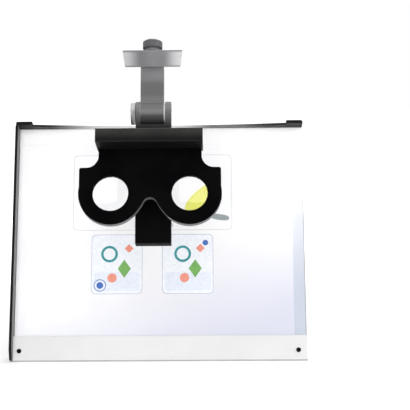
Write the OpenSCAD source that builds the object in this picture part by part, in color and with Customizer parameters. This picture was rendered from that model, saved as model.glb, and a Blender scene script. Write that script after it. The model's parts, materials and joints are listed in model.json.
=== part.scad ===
// Table-top lens stereoscope: a leaning picture board, with a lens head carried in front of it.
// The lens head hangs from a rail that slides over the board's top edge.
// Millimetres. X is to the right, Y away from the viewer and Z up. The origin is on the table,
// in the middle, under the front face of the board.
// Everything but the prop leg is drawn square to the board: there, Z runs up the board from its
// bottom edge, and Y is zero on the board's white face. lean_back() then leans it.

/* [Board] */
// Lean of the board, from upright
lean = 20; // [14:0.5:26]
// Width of the board
board_w = 313; // [305:1:360]
// Height of the board, along its slope
board_h = 257.5; // [250:0.5:290]
// Thickness of the back board
back_t = 10; // [8:0.5:16]
// Thickness of the white face board
face_t = 2; // [1:0.25:4]
// Thickness of the side stop
side_t = 3; // [2:0.25:5]
// Depth of the side stop and the corner clips in front of the face
side_d = 17.5; // [14:0.5:30]
// Thickness of the top lip and the corner clips
lip_t = 2.5; // [1.5:0.25:4]
// Depth of the top lip in front of the face, at its ends
lip_end_d = 11; // [6:0.5:13]
// Depth of the top lip in front of the face, in the middle
lip_mid_d = 3.5; // [1:0.25:5]
// Length of a corner clip along the top edge
clip_l = 18; // [12:0.5:26]
// Drop of a corner clip behind the back board
clip_drop = 14; // [10:0.5:20]
// Corner radius of a corner clip
clip_r = 4; // [1:0.25:6]
// Height of the ledge, along the board
ledge_h = 26; // [20:0.5:32]
// Depth of the ledge in front of the face
ledge_d = 7; // [5:0.25:10]
// Distance of a ledge screw from the board's end
ledge_screw_in = 9.5; // [7:0.25:16]
// Height of the ledge screws, along the board
ledge_screw_z = 10; // [9:0.25:14]
// Thickness of the rubber strip under the board
strip_t = 1.2; // [0.8:0.1:2.5]

/* [Picture sheet] */
// Width of the picture sheet
sheet_w = 297; // [280:1:299]
// Height of the picture sheet
sheet_h = 210; // [190:1:218]
// Thickness of the picture sheet
sheet_t = 2.4; // [1:0.1:4]

/* [Prop leg] */
// Angle of the open leg to the board
leg_open = 42; // [36:0.5:48]
// Width of the leg at its hinge
leg_top_w = 46; // [36:1:56]
// Width of the leg at its foot
leg_end_w = 64; // [50:1:80]
// Thickness of the leg
leg_t = 9; // [7:0.5:10]
// Height of the hinge pin, along the board
leg_pin_z = 182; // [165:1:190]
// Distance of the hinge pin from the back board
leg_pin_out = 9; // [8:0.25:11]
// Diameter of the hinge pin
leg_pin_d = 4; // [3:0.25:5]
// Height of the rubber foot, square to the table
foot_h = 9; // [7:0.5:12]

/* [Rail] */
// Width of the rail
rail_w = 8; // [6:0.25:9]
// Height of the rail
rail_h = 10; // [8:0.25:10.5]
// Distance from the board's top edge up to the middle of the rail
rail_up = 19; // [17:0.25:23]
// Reach of the rail behind the back board
rail_back = 50; // [46:0.5:60]
// Width of the rail bracket's block
block_w = 20; // [16:0.5:26]
// Depth of the rail bracket's block
block_d = 30; // [26:0.5:36]
// Wall of the block over the rail
block_wall = 4.5; // [3:0.25:7]
// Width of the clamp knob
clamp_knob_d = 17; // [14:0.5:20]

/* [Crosshead and stalk] */
// Distance of the stalk's middle from the board's face
stalk_out = 160; // [150:1:175]
// Width of the crosshead along its top edge
cross_top_w = 58; // [48:0.5:66]
// Width of the crosshead along its bottom edge
cross_foot_w = 53; // [44:0.5:62]
// Height of the crosshead
cross_h = 17.6; // [15.5:0.1:19]
// Radius of the crosshead's rounded front
cross_front_r = 36; // [34:0.5:60]
// Depth of the crosshead, in front of the stalk's middle
cross_front = 15.5; // [13:0.25:18]
// Diameter of the stalk's spigot
spigot_d = 10; // [8:0.25:12]
// Width of the stalk
stalk_w = 22.4; // [18:0.2:24]
// Thickness of the stalk
stalk_t = 14; // [12:0.25:16]
// Distance from the crosshead down to the tilt axis
stalk_drop = 47; // [40:0.5:52]
// Height of the rail's middle over the crosshead's foot
rail_seat = 7.5; // [6.5:0.25:9]
// Diameter of the domed cap nut
cap_d = 18.75; // [16:0.25:22]
// Height of the domed cap nut
cap_h = 9.8; // [8:0.1:11]
// Diameter of the washer under the cap nut
cap_washer_d = 15; // [13.5:0.25:15.5]
// Thickness of the washer under the cap nut
cap_washer_t = 2.8; // [1.5:0.1:3]

/* [Fork] */
// Radius of the fork's ears
ear_r = 11.5; // [10:0.25:13]
// Thickness of the left ear, under the tilt knob
ear_left_t = 3.8; // [3:0.1:7]
// Thickness of the right ear, which holds the bolt's head
ear_right_t = 5.7; // [5:0.1:8]
// Thickness of the backbone
spine_t = 14; // [12:0.25:16]
// Length of the backbone under the tilt axis
spine_drop = 131.5; // [120:0.5:145]
// Thickness of the left friction washer
washer_left_t = 0.5; // [0.4:0.1:1.5]
// Thickness of the right friction washer
washer_right_t = 1.3; // [0.6:0.1:2]
// Diameter of the tilt bolt
tilt_bolt_d = 6; // [5:0.25:7]
// Diameter of the tilt knob
tilt_knob_d = 21.5; // [17:0.25:25]
// Thickness of the tilt knob
tilt_knob_t = 4.75; // [4:0.25:7]

/* [Lens head] */
// Distance between the two lens centres
lens_gap = 73; // [72:0.5:78]
// Distance from the tilt axis down to the lens centres
lens_drop = 88.5; // [84:0.5:98]
// Distance of the mask's front from the board's face
mask_out = 200; // [190:0.5:212]
// Thickness of the front mask plate
mask_t = 4; // [3:0.25:6]
// Thickness of the lens plate behind it
plate_t = 4.5; // [4.5:0.25:7]
// Radius of the mask round each lens
rim_r = 29.7; // [27:0.1:34]
// Diameter of each eye opening
eye_d = 33; // [28:0.5:36]
// Diameter of the sunk ring round each eye opening
eye_ring_d = 39.5; // [38:0.5:46]
// Half of the mask's width at its shoulders
shoulder_hw = 65.6; // [60:0.1:67]
// Height of the shoulders over the lens centres
shoulder_up = 24.3; // [22:0.1:28]
// Radius of the shoulder corners
shoulder_r = 2; // [1:0.25:5]
// Half of the neck's width
neck_hw = 47.75; // [42:0.25:52]
// Height of the neck over the lens centres
neck_up = 42; // [39:0.25:46]
// Radius of the fillets between neck and shoulders
neck_r = 11.25; // [5:0.25:12]
// Distance from the lens centres down to the top of the nose arch
nose_down = 4.1; // [2:0.1:7]
// Radius of the nose arch
nose_r = 6.8; // [5:0.1:9]
// Radius of the flare that leads the nose arch into the lens rims
nose_flare_r = 47; // [40:0.5:60]
// Reach of the brow rest in front of the mask
brow_reach = 25; // [22:0.5:36]
// Height of the brow rest's front lip
brow_lip_h = 13; // [10:0.1:17]
// Half width of the brow rest
brow_hw = 49; // [44:0.25:54]
// Thickness of the brow rest's sheet
brow_t = 3; // [2:0.25:4]
// Diameter of each lens
lens_d = 39; // [37:0.25:40]
// Thickness of each lens at its thickest point
lens_t = 4.2; // [3.5:0.1:4.4]
// Radius of the lens's curved face
lens_r = 104; // [95:1:140]
// Distance of each lens's thickest point outwards from its centre
lens_shift = 6; // [0:0.25:7]
// Outer diameter of a lens ring
ring_d = 46; // [44:0.5:48]
// Thickness of a lens ring's flange
ring_t = 2; // [1.5:0.25:3]
// Thickness of the septum
septum_t = 3; // [2:0.25:4]
// Reach of the septum behind the backbone
septum_reach = 76; // [60:1:80]

/* [Hidden] */
$fn = 96;

// Clearances: running in a bore, beside a sliding flat, under a turning face, and loose
bore_gap = 0.05;
flat_gap = 0.1;
turn_gap = 0.1;
loose_gap = 0.3;
// A little more than a cut needs, and a length past everything
over = 1;
far = 500;

// Colours
black = [0.05, 0.05, 0.055];
dark = [0.24, 0.24, 0.25];
white = [0.94, 0.94, 0.95];
warm_white = [0.95, 0.94, 0.91];
steel = [0.75, 0.76, 0.78];
rubber = [0.13, 0.13, 0.13];
clear = [0.82, 0.9, 0.94, 0.5];

// Board
half_w = board_w / 2;
back_y = face_t + back_t;
lip_z = board_h - lip_t;
inner_left = -half_w + side_t;
table_rise = strip_t - ledge_d * sin(lean);
lip_chord = half_w - clip_l;
lip_sag = lip_end_d - lip_mid_d;
lip_front_r = (lip_chord * lip_chord + lip_sag * lip_sag) / (2 * lip_sag);
ledge_round = 1.6;
screw_d = 3;
screw_head_d = 5.6;
screw_head_t = 1.8;
screw_in = 7;
clip_screw_z = lip_z - clip_drop / 2;
clip_screw_x = half_w - clip_l / 2;
clip_leg_t = 2;
ledge_head_d = 4.9;
ledge_head_t = 1.4;
ledge_screw_x = half_w - ledge_screw_in;

// Prop leg, in the board's axes
leg_pin_y = back_y + leg_pin_out;
leg_table_angle = leg_open - lean;
leg_pin_high = leg_pin_z * cos(lean) - leg_pin_y * sin(lean) + table_rise;
leg_length = (leg_pin_high - foot_h) / cos(leg_table_angle);
leg_heel = leg_t * 0.95;
leg_bore_r = leg_pin_d / 2 + bore_gap;
leg_bracket_t = 2.5;
leg_ear_gap = 0.5;
leg_ear_x = leg_top_w / 2 + leg_ear_gap;
leg_ear_r = leg_pin_d / 2 + 4;
leg_flange_w = 13;
leg_bracket_h = 34;
leg_pin_half = leg_ear_x + leg_bracket_t + 1;
leg_pin_head_d = leg_pin_d + 3;
leg_window_w = leg_top_w * 0.42;
foot_grip = 5;
foot_wall = 2.5;
leg_screw_x = leg_ear_x + leg_bracket_t + leg_flange_w / 2;
leg_screw_zs = [leg_pin_z - leg_bracket_h / 2 + 7, leg_pin_z + leg_bracket_h / 2 - 7];
leg_places = [for (x = [-leg_screw_x, leg_screw_x], z = leg_screw_zs) [x, z]];

// Rail and its bracket
rail_z = board_h + rail_up;
rail_end_y = back_y + rail_back;
block_lap = 8;
block_r = 4;
bracket_plate_t = 4;
bracket_plate_h = 30;
block_top = rail_z + rail_h / 2 + block_wall;
block_foot = board_h - block_lap;
plate_foot = block_foot - bracket_plate_h;
bracket_plate_w = block_w + 14;
bracket_screw_x = block_w / 2 + 1;
bracket_screw_zs = [plate_foot + 6, block_foot - 7];
bracket_places = [for (x = [-bracket_screw_x, bracket_screw_x], z = bracket_screw_zs) [x, z]];
clamp_y = back_y + block_d * 0.55;
clamp_shank_d = 5;
clamp_knob_h = 10;
clamp_neck_h = 3;
stop_screw_d = 3.5;
stop_head_d = 7;
stop_y = back_y + block_d + loose_gap + stop_head_d / 2;

// Crosshead and stalk
cross_z = rail_z - rail_seat;
boss_w = rail_w + 8;
boss_l = 22;
boss_back = stalk_out - boss_l;
socket_end = stalk_out - spigot_d / 2 - 3;
cross_screw_out = boss_back + 6;
pivot_z = cross_z - stalk_drop;
spigot_top = cross_z + cross_h + cap_washer_t + cap_h * 0.62;
cap_z = cross_z + cross_h + cap_washer_t + turn_gap * 2;
tongue_r = ear_r - 0.5;
stalk_step = 5;

// Fork, backbone and tilt bolt
slot_left = stalk_w / 2 + washer_left_t + flat_gap;
slot_right = stalk_w / 2 + washer_right_t + flat_gap;
spine_left = slot_left + ear_left_t;
spine_right = slot_right + ear_right_t;
spine_front = stalk_out + 5;
spine_back = spine_front - spine_t;
slot_floor = pivot_z - tongue_r - 2;
spine_foot = pivot_z - spine_drop;
bolt_head_d = 11;
bolt_head_t = 3.6;
bolt_head_x = spine_right - bolt_head_t;
fork_washer_d = ear_r * 2 - 3;
knob_x = spine_left + loose_gap;
knob_bore = tilt_knob_t - 1.2;
flute_r = 0.9;

// Lens head
lens_z = pivot_z - lens_drop;
eye_x = lens_gap / 2;
mask_back = mask_out - mask_t;
plate_back = mask_back - plate_t;
flare_bite = 0.15;
lens_bore_r = lens_d / 2 + bore_gap;
ring_inner_d = eye_d + 1;
ring_spigot = 0.8;
eye_ring_sink = 0.6;
spacer_w = 26;
spacer_top = lens_z + neck_up - 6;
spacer_foot = lens_z - 2;
brow_z = lens_z + neck_up;
brow_out = mask_out + brow_reach;
brow_fillet = 5;
brow_screw_xs = [-30, 0, 30];
small_screw_d = 2.5;
small_head_d = 4.6;
small_head_t = 1.6;
plate_screw_places = [[-58, 17], [58, 17], [-41, 34], [41, 34]];
spine_screw_zs = [spacer_foot + 9, spacer_top - 9];
spine_screw_d = 4;
spine_head_d = 7.5;
spine_head_t = 3.2;
septum_up = 36;
septum_down = 32;
septum_far_up = 26;
septum_far_down = 10;
septum_top = lens_z + septum_up;
septum_foot = lens_z - septum_down;
septum_seat = 6;
septum_screw_up = 12;
septum_screw_zs = [septum_foot + septum_screw_up, (spine_screw_zs[0] + spine_screw_zs[1]) / 2];

// Leans what is drawn square to the board, and stands it on the table
module lean_back() {
    translate([0, 0, table_rise])
        rotate([-lean, 0, 0])
            children();
}

// The space under the table's top, raised by a height, seen in the board's axes
module under_table(rise) {
    rotate([lean, 0, 0])
        translate([-far, -far, rise - table_rise - far])
            cube([far * 2, far * 2, far]);
}

// A block from its two corners
module block(low, high) {
    translate(low)
        cube([high[0] - low[0], high[1] - low[1], high[2] - low[2]]);
}

// A cylinder along Y, from the first Y to the second
module along_y(x, z, from_y, to_y, r) {
    translate([x, from_y, z])
        rotate([-90, 0, 0])
            cylinder(h = to_y - from_y, r = r);
}

// A cylinder along X, from the first X to the second
module along_x(y, z, from_x, to_x, r) {
    translate([from_x, y, z])
        rotate([0, 90, 0])
            cylinder(h = to_x - from_x, r = r);
}

// A cylinder along Z, from the first Z to the second
module along_z(x, y, from_z, to_z, r) {
    translate([x, y, from_z])
        cylinder(h = to_z - from_z, r = r);
}

// A flat outline in X and Z, from the first Y to the second
module plate_y(from_y, to_y) {
    translate([0, to_y, 0])
        rotate([90, 0, 0])
            linear_extrude(to_y - from_y)
                children();
}

// A side outline, drawn as [Y, Z], from the first X to the second
module plate_x(from_x, to_x) {
    translate([from_x, 0, 0])
        rotate([90, 0, 90])
            linear_extrude(to_x - from_x)
                children();
}

// A rectangle in a flat outline, with its four corners rounded
module rounded_rect(low, high, r) {
    translate([low[0] + r, low[1]])
        square([high[0] - low[0] - 2 * r, high[1] - low[1]]);
    translate([low[0], low[1] + r])
        square([high[0] - low[0], high[1] - low[1] - 2 * r]);
    for (x = [low[0] + r, high[0] - r], z = [low[1] + r, high[1] - r])
        translate([x, z])
            circle(r = r);
}

// A pan-head screw along Y: its head sits on the plane at seat_y, towards the side given
module screw_y(x, z, seat_y, side, length, d, head_d, head_t) {
    shank_end = seat_y - side * length;
    head_end = seat_y + side * head_t;
    along_y(x, z, min(shank_end, seat_y), max(shank_end, seat_y), d / 2);
    along_y(x, z, min(seat_y, head_end), max(seat_y, head_end), head_d / 2);
}

// The hole for such a screw
module screw_hole_y(x, z, from_y, to_y, d) {
    along_y(x, z, from_y, to_y, d / 2 + bore_gap);
}

module back_board() {
    color(black)
        lean_back()
            difference() {
                block([inner_left, face_t, 0], [half_w, back_y, lip_z]);
                under_table(strip_t);
                for (p = concat(bracket_places, leg_places))
                    screw_hole_y(p[0], p[1], back_y - screw_in, back_y + over, screw_d);
                for (x = [-clip_screw_x, clip_screw_x])
                    screw_hole_y(x, clip_screw_z, back_y - screw_in, back_y + over, small_screw_d);
                for (x = [-ledge_screw_x, ledge_screw_x])
                    screw_hole_y(x, ledge_screw_z, face_t - over, face_t + 6, small_screw_d);
            }
}

module face_board() {
    color(white)
        lean_back()
            difference() {
                block([inner_left, 0, 0], [half_w, face_t, lip_z]);
                under_table(strip_t);
                for (x = [-ledge_screw_x, ledge_screw_x])
                    screw_hole_y(x, ledge_screw_z, -over, face_t + over, small_screw_d);
            }
}

module side_stop() {
    toe = 5;
    color(black)
        lean_back()
            difference() {
                block([-half_w, -side_d, 0], [inner_left, back_y, lip_z]);
                under_table(strip_t);
                plate_x(-half_w - over, inner_left + over)
                    polygon([
                        [-side_d - over, -over - side_d],
                        [-side_d - over, ledge_h * 0.4],
                        [-side_d, ledge_h * 0.4],
                        [-ledge_d - toe, 0],
                        [-ledge_d - toe, -over - side_d]
                    ]);
            }
}

module top_lip() {
    color(dark)
        lean_back()
            difference() {
                block([-lip_chord, -lip_end_d, lip_z], [lip_chord, back_y, board_h]);
                along_z(0, -lip_mid_d - lip_front_r, lip_z - over, board_h + over, lip_front_r, $fn = 720);
            }
}

// A corner clip for the side given: -1 is left, 1 is right
module corner_clip(side) {
    outer = half_w;
    inner = half_w - clip_l;
    mirror([side < 0 ? 1 : 0, 0, 0])
        difference() {
            union() {
                translate([0, 0, lip_z])
                    linear_extrude(lip_t) {
                        translate([inner, -side_d])
                            square([clip_l - clip_r, side_d + back_y + clip_leg_t]);
                        translate([inner, -side_d + clip_r])
                            square([clip_l, side_d - clip_r + back_y + clip_leg_t]);
                        translate([outer - clip_r, -side_d + clip_r])
                            circle(r = clip_r);
                    }
                block([inner, back_y, lip_z - clip_drop], [outer, back_y + clip_leg_t, lip_z + over / 2]);
            }
            screw_hole_y(clip_screw_x, clip_screw_z, back_y - over, back_y + clip_leg_t + over, small_screw_d);
        }
}

module corner_clip_left() {
    color(black)
        lean_back()
            corner_clip(-1);
}

module corner_clip_right() {
    color(black)
        lean_back()
            corner_clip(1);
}

module clip_screws() {
    color(steel)
        lean_back()
            for (x = [-clip_screw_x, clip_screw_x])
                screw_y(x, clip_screw_z, back_y + clip_leg_t, 1, screw_in + clip_leg_t - 0.5,
                    small_screw_d, small_head_d, small_head_t);
}

module ledge() {
    color(warm_white)
        lean_back()
            difference() {
                plate_x(inner_left, half_w) {
                    translate([-ledge_d, 0])
                        square([ledge_d, ledge_h - ledge_round]);
                    translate([-ledge_d + ledge_round, 0])
                        square([ledge_d - ledge_round, ledge_h]);
                    translate([-ledge_d + ledge_round, ledge_h - ledge_round])
                        circle(r = ledge_round);
                }
                under_table(strip_t);
                for (x = [-ledge_screw_x, ledge_screw_x])
                    screw_hole_y(x, ledge_screw_z, -ledge_d - over, over, small_screw_d);
            }
}

module ledge_screws() {
    color(black)
        lean_back()
            for (x = [-ledge_screw_x, ledge_screw_x])
                screw_y(x, ledge_screw_z, -ledge_d, -1, ledge_d + face_t + 5,
                    small_screw_d, ledge_head_d, ledge_head_t);
}

// The strip lies flat on the table, under the ledge, the face and the back board
module base_strip() {
    color(rubber)
        intersection() {
            lean_back()
                block([-half_w, -ledge_d, -far / 2], [half_w, back_y, far / 2]);
            block([-half_w, -far, 0], [half_w, far, strip_t]);
        }
}

module picture_sheet() {
    color([0.97, 0.97, 0.99])
        lean_back()
            block([inner_left + loose_gap, -flat_gap - sheet_t, ledge_h + flat_gap],
                [inner_left + loose_gap + sheet_w, -flat_gap, ledge_h + flat_gap + sheet_h]);
}

// The hinge pin's middle is the origin here: the leg runs down its own Z axis
module at_open_leg() {
    translate([0, leg_pin_y, leg_pin_z])
        rotate([leg_open, 0, 0])
            children();
}

// The leg's front view: it widens towards the foot, with a long window
module leg_outline() {
    difference() {
        polygon([
            [-leg_top_w / 2, leg_heel],
            [leg_top_w / 2, leg_heel],
            [leg_top_w / 2, -leg_length * 0.2],
            [leg_end_w / 2, -leg_length],
            [-leg_end_w / 2, -leg_length],
            [-leg_top_w / 2, -leg_length * 0.2]
        ]);
        rounded_rect([-leg_window_w / 2, -leg_length * 0.8], [leg_window_w / 2, -leg_length * 0.28], leg_window_w / 2 - over);
    }
}

module prop_leg() {
    color(black)
        lean_back()
            difference() {
                at_open_leg()
                    difference() {
                        plate_y(-leg_t / 2, leg_t / 2)
                            leg_outline();
                        along_x(0, 0, -leg_top_w, leg_top_w, leg_bore_r);
                    }
                block([-far, -far, 0], [far, back_y + flat_gap, far]);
            }
}

// A rubber shoe round the leg's end, cut flat where it stands on the table
module leg_foot() {
    shoe_w = leg_end_w + 2 * foot_wall;
    shoe_t = leg_t + 2 * foot_wall;
    color(rubber)
        difference() {
            lean_back()
                at_open_leg()
                    difference() {
                        block([-shoe_w / 2, -shoe_t / 2, -leg_length - foot_h * 2],
                            [shoe_w / 2, shoe_t / 2, -leg_length + foot_grip]);
                        plate_y(-leg_t / 2, leg_t / 2)
                            leg_outline();
                    }
            block([-far, -far, -far], [far, far, 0]);
        }
}

module leg_hinge_bracket() {
    ear_in = leg_ear_x;
    ear_out = leg_ear_x + leg_bracket_t;
    low = leg_pin_z - leg_bracket_h / 2;
    high = leg_pin_z + leg_bracket_h / 2;
    color(steel)
        lean_back()
            difference() {
                for (side = [0, 1])
                    mirror([side, 0, 0]) {
                        block([ear_in, back_y, low], [ear_out + leg_flange_w, back_y + leg_bracket_t, high]);
                        plate_x(ear_in, ear_out) {
                            translate([back_y, low])
                                square([leg_pin_out, leg_bracket_h]);
                            translate([leg_pin_y, leg_pin_z])
                                circle(r = leg_ear_r);
                        }
                    }
                along_x(leg_pin_y, leg_pin_z, -leg_pin_half - over, leg_pin_half + over, leg_bore_r);
                for (p = leg_places)
                    screw_hole_y(p[0], p[1], back_y - over, back_y + leg_bracket_t + over, screw_d);
            }
}

module leg_hinge_pin() {
    color(steel)
        lean_back() {
            along_x(leg_pin_y, leg_pin_z, -leg_pin_half, leg_pin_half, leg_pin_d / 2);
            along_x(leg_pin_y, leg_pin_z, leg_pin_half - over, leg_pin_half + over, leg_pin_head_d / 2);
            along_x(leg_pin_y, leg_pin_z, -leg_pin_half - over, -leg_pin_half + over, leg_pin_head_d / 2);
        }
}

// The block's top view: square where it meets the board, with rounded corners at the rear
module bracket_plan() {
    rounded_rect([-block_w / 2, back_y + block_d / 2], [block_w / 2, back_y + block_d], block_r);
    translate([-block_w / 2, back_y])
        square([block_w, block_d - block_r]);
}

module rail_bracket() {
    color(white)
        lean_back()
            difference() {
                union() {
                    translate([0, 0, block_foot])
                        linear_extrude(block_top - block_foot)
                            bracket_plan();
                    block([-bracket_plate_w / 2, back_y, plate_foot],
                        [bracket_plate_w / 2, back_y + bracket_plate_t, block_foot + over]);
                    plate_x(-2, 2)
                        polygon([
                            [back_y, block_foot + over],
                            [back_y, plate_foot + 8],
                            [back_y + bracket_plate_t, plate_foot + 8],
                            [clamp_y - clamp_knob_d / 2 - 1.5, block_foot - clamp_neck_h],
                            [clamp_y - clamp_knob_d / 2 - 1.5, block_foot + over]
                        ]);
                }
                block([-rail_w / 2 - flat_gap, back_y - over, rail_z - rail_h / 2 - flat_gap],
                    [rail_w / 2 + flat_gap, back_y + block_d + over, rail_z + rail_h / 2 + flat_gap]);
                along_z(0, clamp_y, block_foot - over, rail_z, clamp_shank_d / 2 + bore_gap);
                for (p = bracket_places)
                    screw_hole_y(p[0], p[1], back_y - over, back_y + bracket_plate_t + over, screw_d);
            }
}

module bracket_screws() {
    color(steel)
        lean_back() {
            for (p = bracket_places)
                screw_y(p[0], p[1], back_y + bracket_plate_t, 1, bracket_plate_t + screw_in - 0.5,
                    screw_d, screw_head_d, screw_head_t);
            for (p = leg_places)
                screw_y(p[0], p[1], back_y + leg_bracket_t, 1, leg_bracket_t + screw_in - 0.5,
                    screw_d, screw_head_d, screw_head_t);
        }
}

// A round knob on the Z axis with flutes cut round its edge
module fluted_knob(d, h, flutes) {
    difference() {
        cylinder(h = h, d = d);
        for (i = [0 : flutes - 1])
            rotate(i * 360 / flutes)
                translate([d / 2 + flute_r * 0.35, 0, -over])
                    cylinder(h = h + 2 * over, r = flute_r, $fn = 24);
    }
}

module rail_clamp_knob() {
    knob_top = block_foot - clamp_neck_h;
    color(dark)
        lean_back()
            translate([0, clamp_y, 0]) {
                translate([0, 0, knob_top - clamp_knob_h])
                    fluted_knob(clamp_knob_d, clamp_knob_h, 18);
                along_z(0, 0, knob_top - over, block_foot - loose_gap, clamp_shank_d);
                along_z(0, 0, block_foot - over, rail_z - rail_h / 2 - loose_gap, clamp_shank_d / 2);
            }
}

module rail() {
    color(steel)
        lean_back()
            difference() {
                block([-rail_w / 2, -socket_end + flat_gap, rail_z - rail_h / 2],
                    [rail_w / 2, rail_end_y, rail_z + rail_h / 2]);
                along_z(0, -cross_screw_out, rail_z, rail_z + rail_h, small_screw_d / 2 + bore_gap);
                along_z(0, stop_y, rail_z, rail_z + rail_h, stop_screw_d / 2 + bore_gap);
            }
}

// Its head meets the rear of the rail bracket and keeps the rail from being drawn out
module rail_stop_screw() {
    top = rail_z + rail_h / 2;
    color(dark)
        lean_back() {
            along_z(0, stop_y, rail_z + 0.5, top + over / 2, stop_screw_d / 2);
            along_z(0, stop_y, top, top + 3, stop_head_d / 2);
        }
}

// The crosshead's top view: a rounded front, a flat back and a boss for the rail
module crosshead_plan() {
    intersection() {
        translate([0, -stalk_out - cross_front + cross_front_r])
            circle(r = cross_front_r, $fn = 180);
        translate([-cross_top_w / 2, -stalk_out - cross_front])
            square([cross_top_w, cross_front + spigot_d / 2 + 3]);
    }
    translate([-boss_w / 2, -stalk_out])
        square([boss_w, stalk_out - boss_back]);
}

module crosshead() {
    color(dark)
        lean_back()
            difference() {
                intersection() {
                    translate([0, 0, cross_z])
                        linear_extrude(cross_h)
                            crosshead_plan();
                    plate_y(-stalk_out - cross_front - over, -boss_back + over)
                        polygon([
                            [-cross_foot_w / 2, cross_z],
                            [cross_foot_w / 2, cross_z],
                            [cross_top_w / 2, cross_z + cross_h],
                            [-cross_top_w / 2, cross_z + cross_h]
                        ]);
                }
                along_z(0, -stalk_out, cross_z - over, cross_z + cross_h + over, spigot_d / 2 + bore_gap);
                block([-rail_w / 2 - bore_gap, -socket_end, rail_z - rail_h / 2 - bore_gap],
                    [rail_w / 2 + bore_gap, -boss_back + over, rail_z + rail_h / 2 + bore_gap]);
                along_z(0, -cross_screw_out, rail_z, cross_z + cross_h + over, small_screw_d / 2 + bore_gap);
            }
}

module crosshead_screw() {
    top = cross_z + cross_h;
    color(steel)
        lean_back() {
            along_z(0, -cross_screw_out, rail_z + 0.5, top + over / 2, small_screw_d / 2);
            along_z(0, -cross_screw_out, top, top + small_head_t, small_head_d / 2);
        }
}

// The stalk's side view, in the board's axes: a straight bar that grows into a round tongue
module stalk_side() {
    top = cross_z - turn_gap;
    translate([-stalk_out - stalk_t / 2, pivot_z + stalk_step])
        square([stalk_t, top - pivot_z - stalk_step]);
    translate([-stalk_out, pivot_z])
        circle(r = tongue_r);
}

module stalk() {
    color(dark)
        lean_back()
            difference() {
                union() {
                    plate_x(-stalk_w / 2, stalk_w / 2)
                        stalk_side();
                    along_z(0, -stalk_out, cross_z - over, spigot_top, spigot_d / 2);
                }
                along_x(-stalk_out, pivot_z, -stalk_w, stalk_w, tilt_bolt_d / 2 + bore_gap);
            }
}

module swivel_washer() {
    low = cross_z + cross_h + turn_gap;
    color(dark)
        lean_back()
            difference() {
                along_z(0, -stalk_out, low, low + cap_washer_t, cap_washer_d / 2);
                along_z(0, -stalk_out, low - over, low + cap_washer_t + over, spigot_d / 2 + bore_gap);
            }
}

// A low dome on a short drum, hollow for the spigot's end
module cap_nut() {
    drum_h = cap_h * 0.55;
    dome_h = cap_h - drum_h;
    dome_r = (cap_d * cap_d / 4 + dome_h * dome_h) / (2 * dome_h);
    color(dark)
        lean_back()
            translate([0, -stalk_out, cap_z])
                difference() {
                    intersection() {
                        cylinder(h = cap_h, d = cap_d);
                        translate([0, 0, cap_h - dome_r])
                            sphere(r = dome_r);
                    }
                    translate([0, 0, -over])
                        cylinder(h = spigot_top - cap_z + over + loose_gap, r = spigot_d / 2 + bore_gap);
                }
}

// The backbone's side view: a bar with a round ear at its top
module spine_side() {
    waist = slot_floor - 10;
    translate([-spine_front, spine_foot])
        square([spine_t, waist + over - spine_foot]);
    polygon([
        [-spine_front, waist],
        [-spine_back, waist],
        [-stalk_out + ear_r, pivot_z],
        [-stalk_out - ear_r, pivot_z]
    ]);
    translate([-stalk_out, pivot_z])
        circle(r = ear_r);
}

module backbone() {
    color(black)
        lean_back()
            difference() {
                plate_x(-spine_left, spine_right)
                    spine_side();
                block([-slot_left, -stalk_out - 2 * ear_r, slot_floor],
                    [slot_right, -stalk_out + 2 * ear_r, pivot_z + 2 * ear_r]);
                along_x(-stalk_out, pivot_z, -spine_left - over, spine_right + over, tilt_bolt_d / 2 + bore_gap);
                along_x(-stalk_out, pivot_z, bolt_head_x, spine_right + over, bolt_head_d / 2 + bore_gap);
                block([-septum_t / 2 - bore_gap, -spine_back - septum_seat, septum_foot - flat_gap],
                    [septum_t / 2 + bore_gap, -spine_back + over, septum_top + flat_gap]);
                for (z = septum_screw_zs)
                    along_x(-spine_back - septum_seat / 2, z, -spine_left / 2, spine_right + over,
                        small_screw_d / 2 + bore_gap);
                for (x = [-1, 1], z = spine_screw_zs)
                    screw_hole_y(x * spacer_w / 4, z, -spine_front - over, -spine_back + over, spine_screw_d);
            }
}

module friction_washers() {
    inner = stalk_w / 2 + flat_gap / 2;
    color(steel)
        lean_back()
            difference() {
                union() {
                    along_x(-stalk_out, pivot_z, -inner - washer_left_t, -inner, fork_washer_d / 2);
                    along_x(-stalk_out, pivot_z, inner, inner + washer_right_t, fork_washer_d / 2);
                }
                along_x(-stalk_out, pivot_z, -far, far, tilt_bolt_d / 2 + bore_gap);
            }
}

module tilt_bolt() {
    color(steel)
        lean_back() {
            along_x(-stalk_out, pivot_z, -knob_x - knob_bore + loose_gap, bolt_head_x + over, tilt_bolt_d / 2);
            along_x(-stalk_out, pivot_z, bolt_head_x + bore_gap, spine_right - 0.4, bolt_head_d / 2);
        }
}

module tilt_knob() {
    color([0.9, 0.9, 0.91])
        lean_back()
            translate([-knob_x, -stalk_out, pivot_z])
                rotate([0, -90, 0])
                    difference() {
                        fluted_knob(tilt_knob_d, tilt_knob_t, 24);
                        translate([0, 0, -over])
                            cylinder(h = knob_bore + over, r = tilt_bolt_d / 2 + bore_gap);
                    }
}

module spacer_block() {
    color(black)
        lean_back()
            difference() {
                block([-spacer_w / 2, -plate_back, spacer_foot], [spacer_w / 2, -spine_front, spacer_top]);
                for (x = [-1, 1], z = spine_screw_zs)
                    screw_hole_y(x * spacer_w / 4, z, -plate_back - over, -spine_front + over, spine_screw_d);
            }
}

// The outline that both plates of the mask share, with the lens centres at height zero
module mask_outline() {
    for (x = [-eye_x, eye_x])
        translate([x, 0])
            circle(r = rim_r);
    rounded_rect([-shoulder_hw, 0], [shoulder_hw, shoulder_up], shoulder_r);
    translate([-neck_hw, shoulder_r])
        square([neck_hw * 2, neck_up - shoulder_r]);
    neck_fillet(1);
    neck_fillet(-1);
    nose_web();
}

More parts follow.
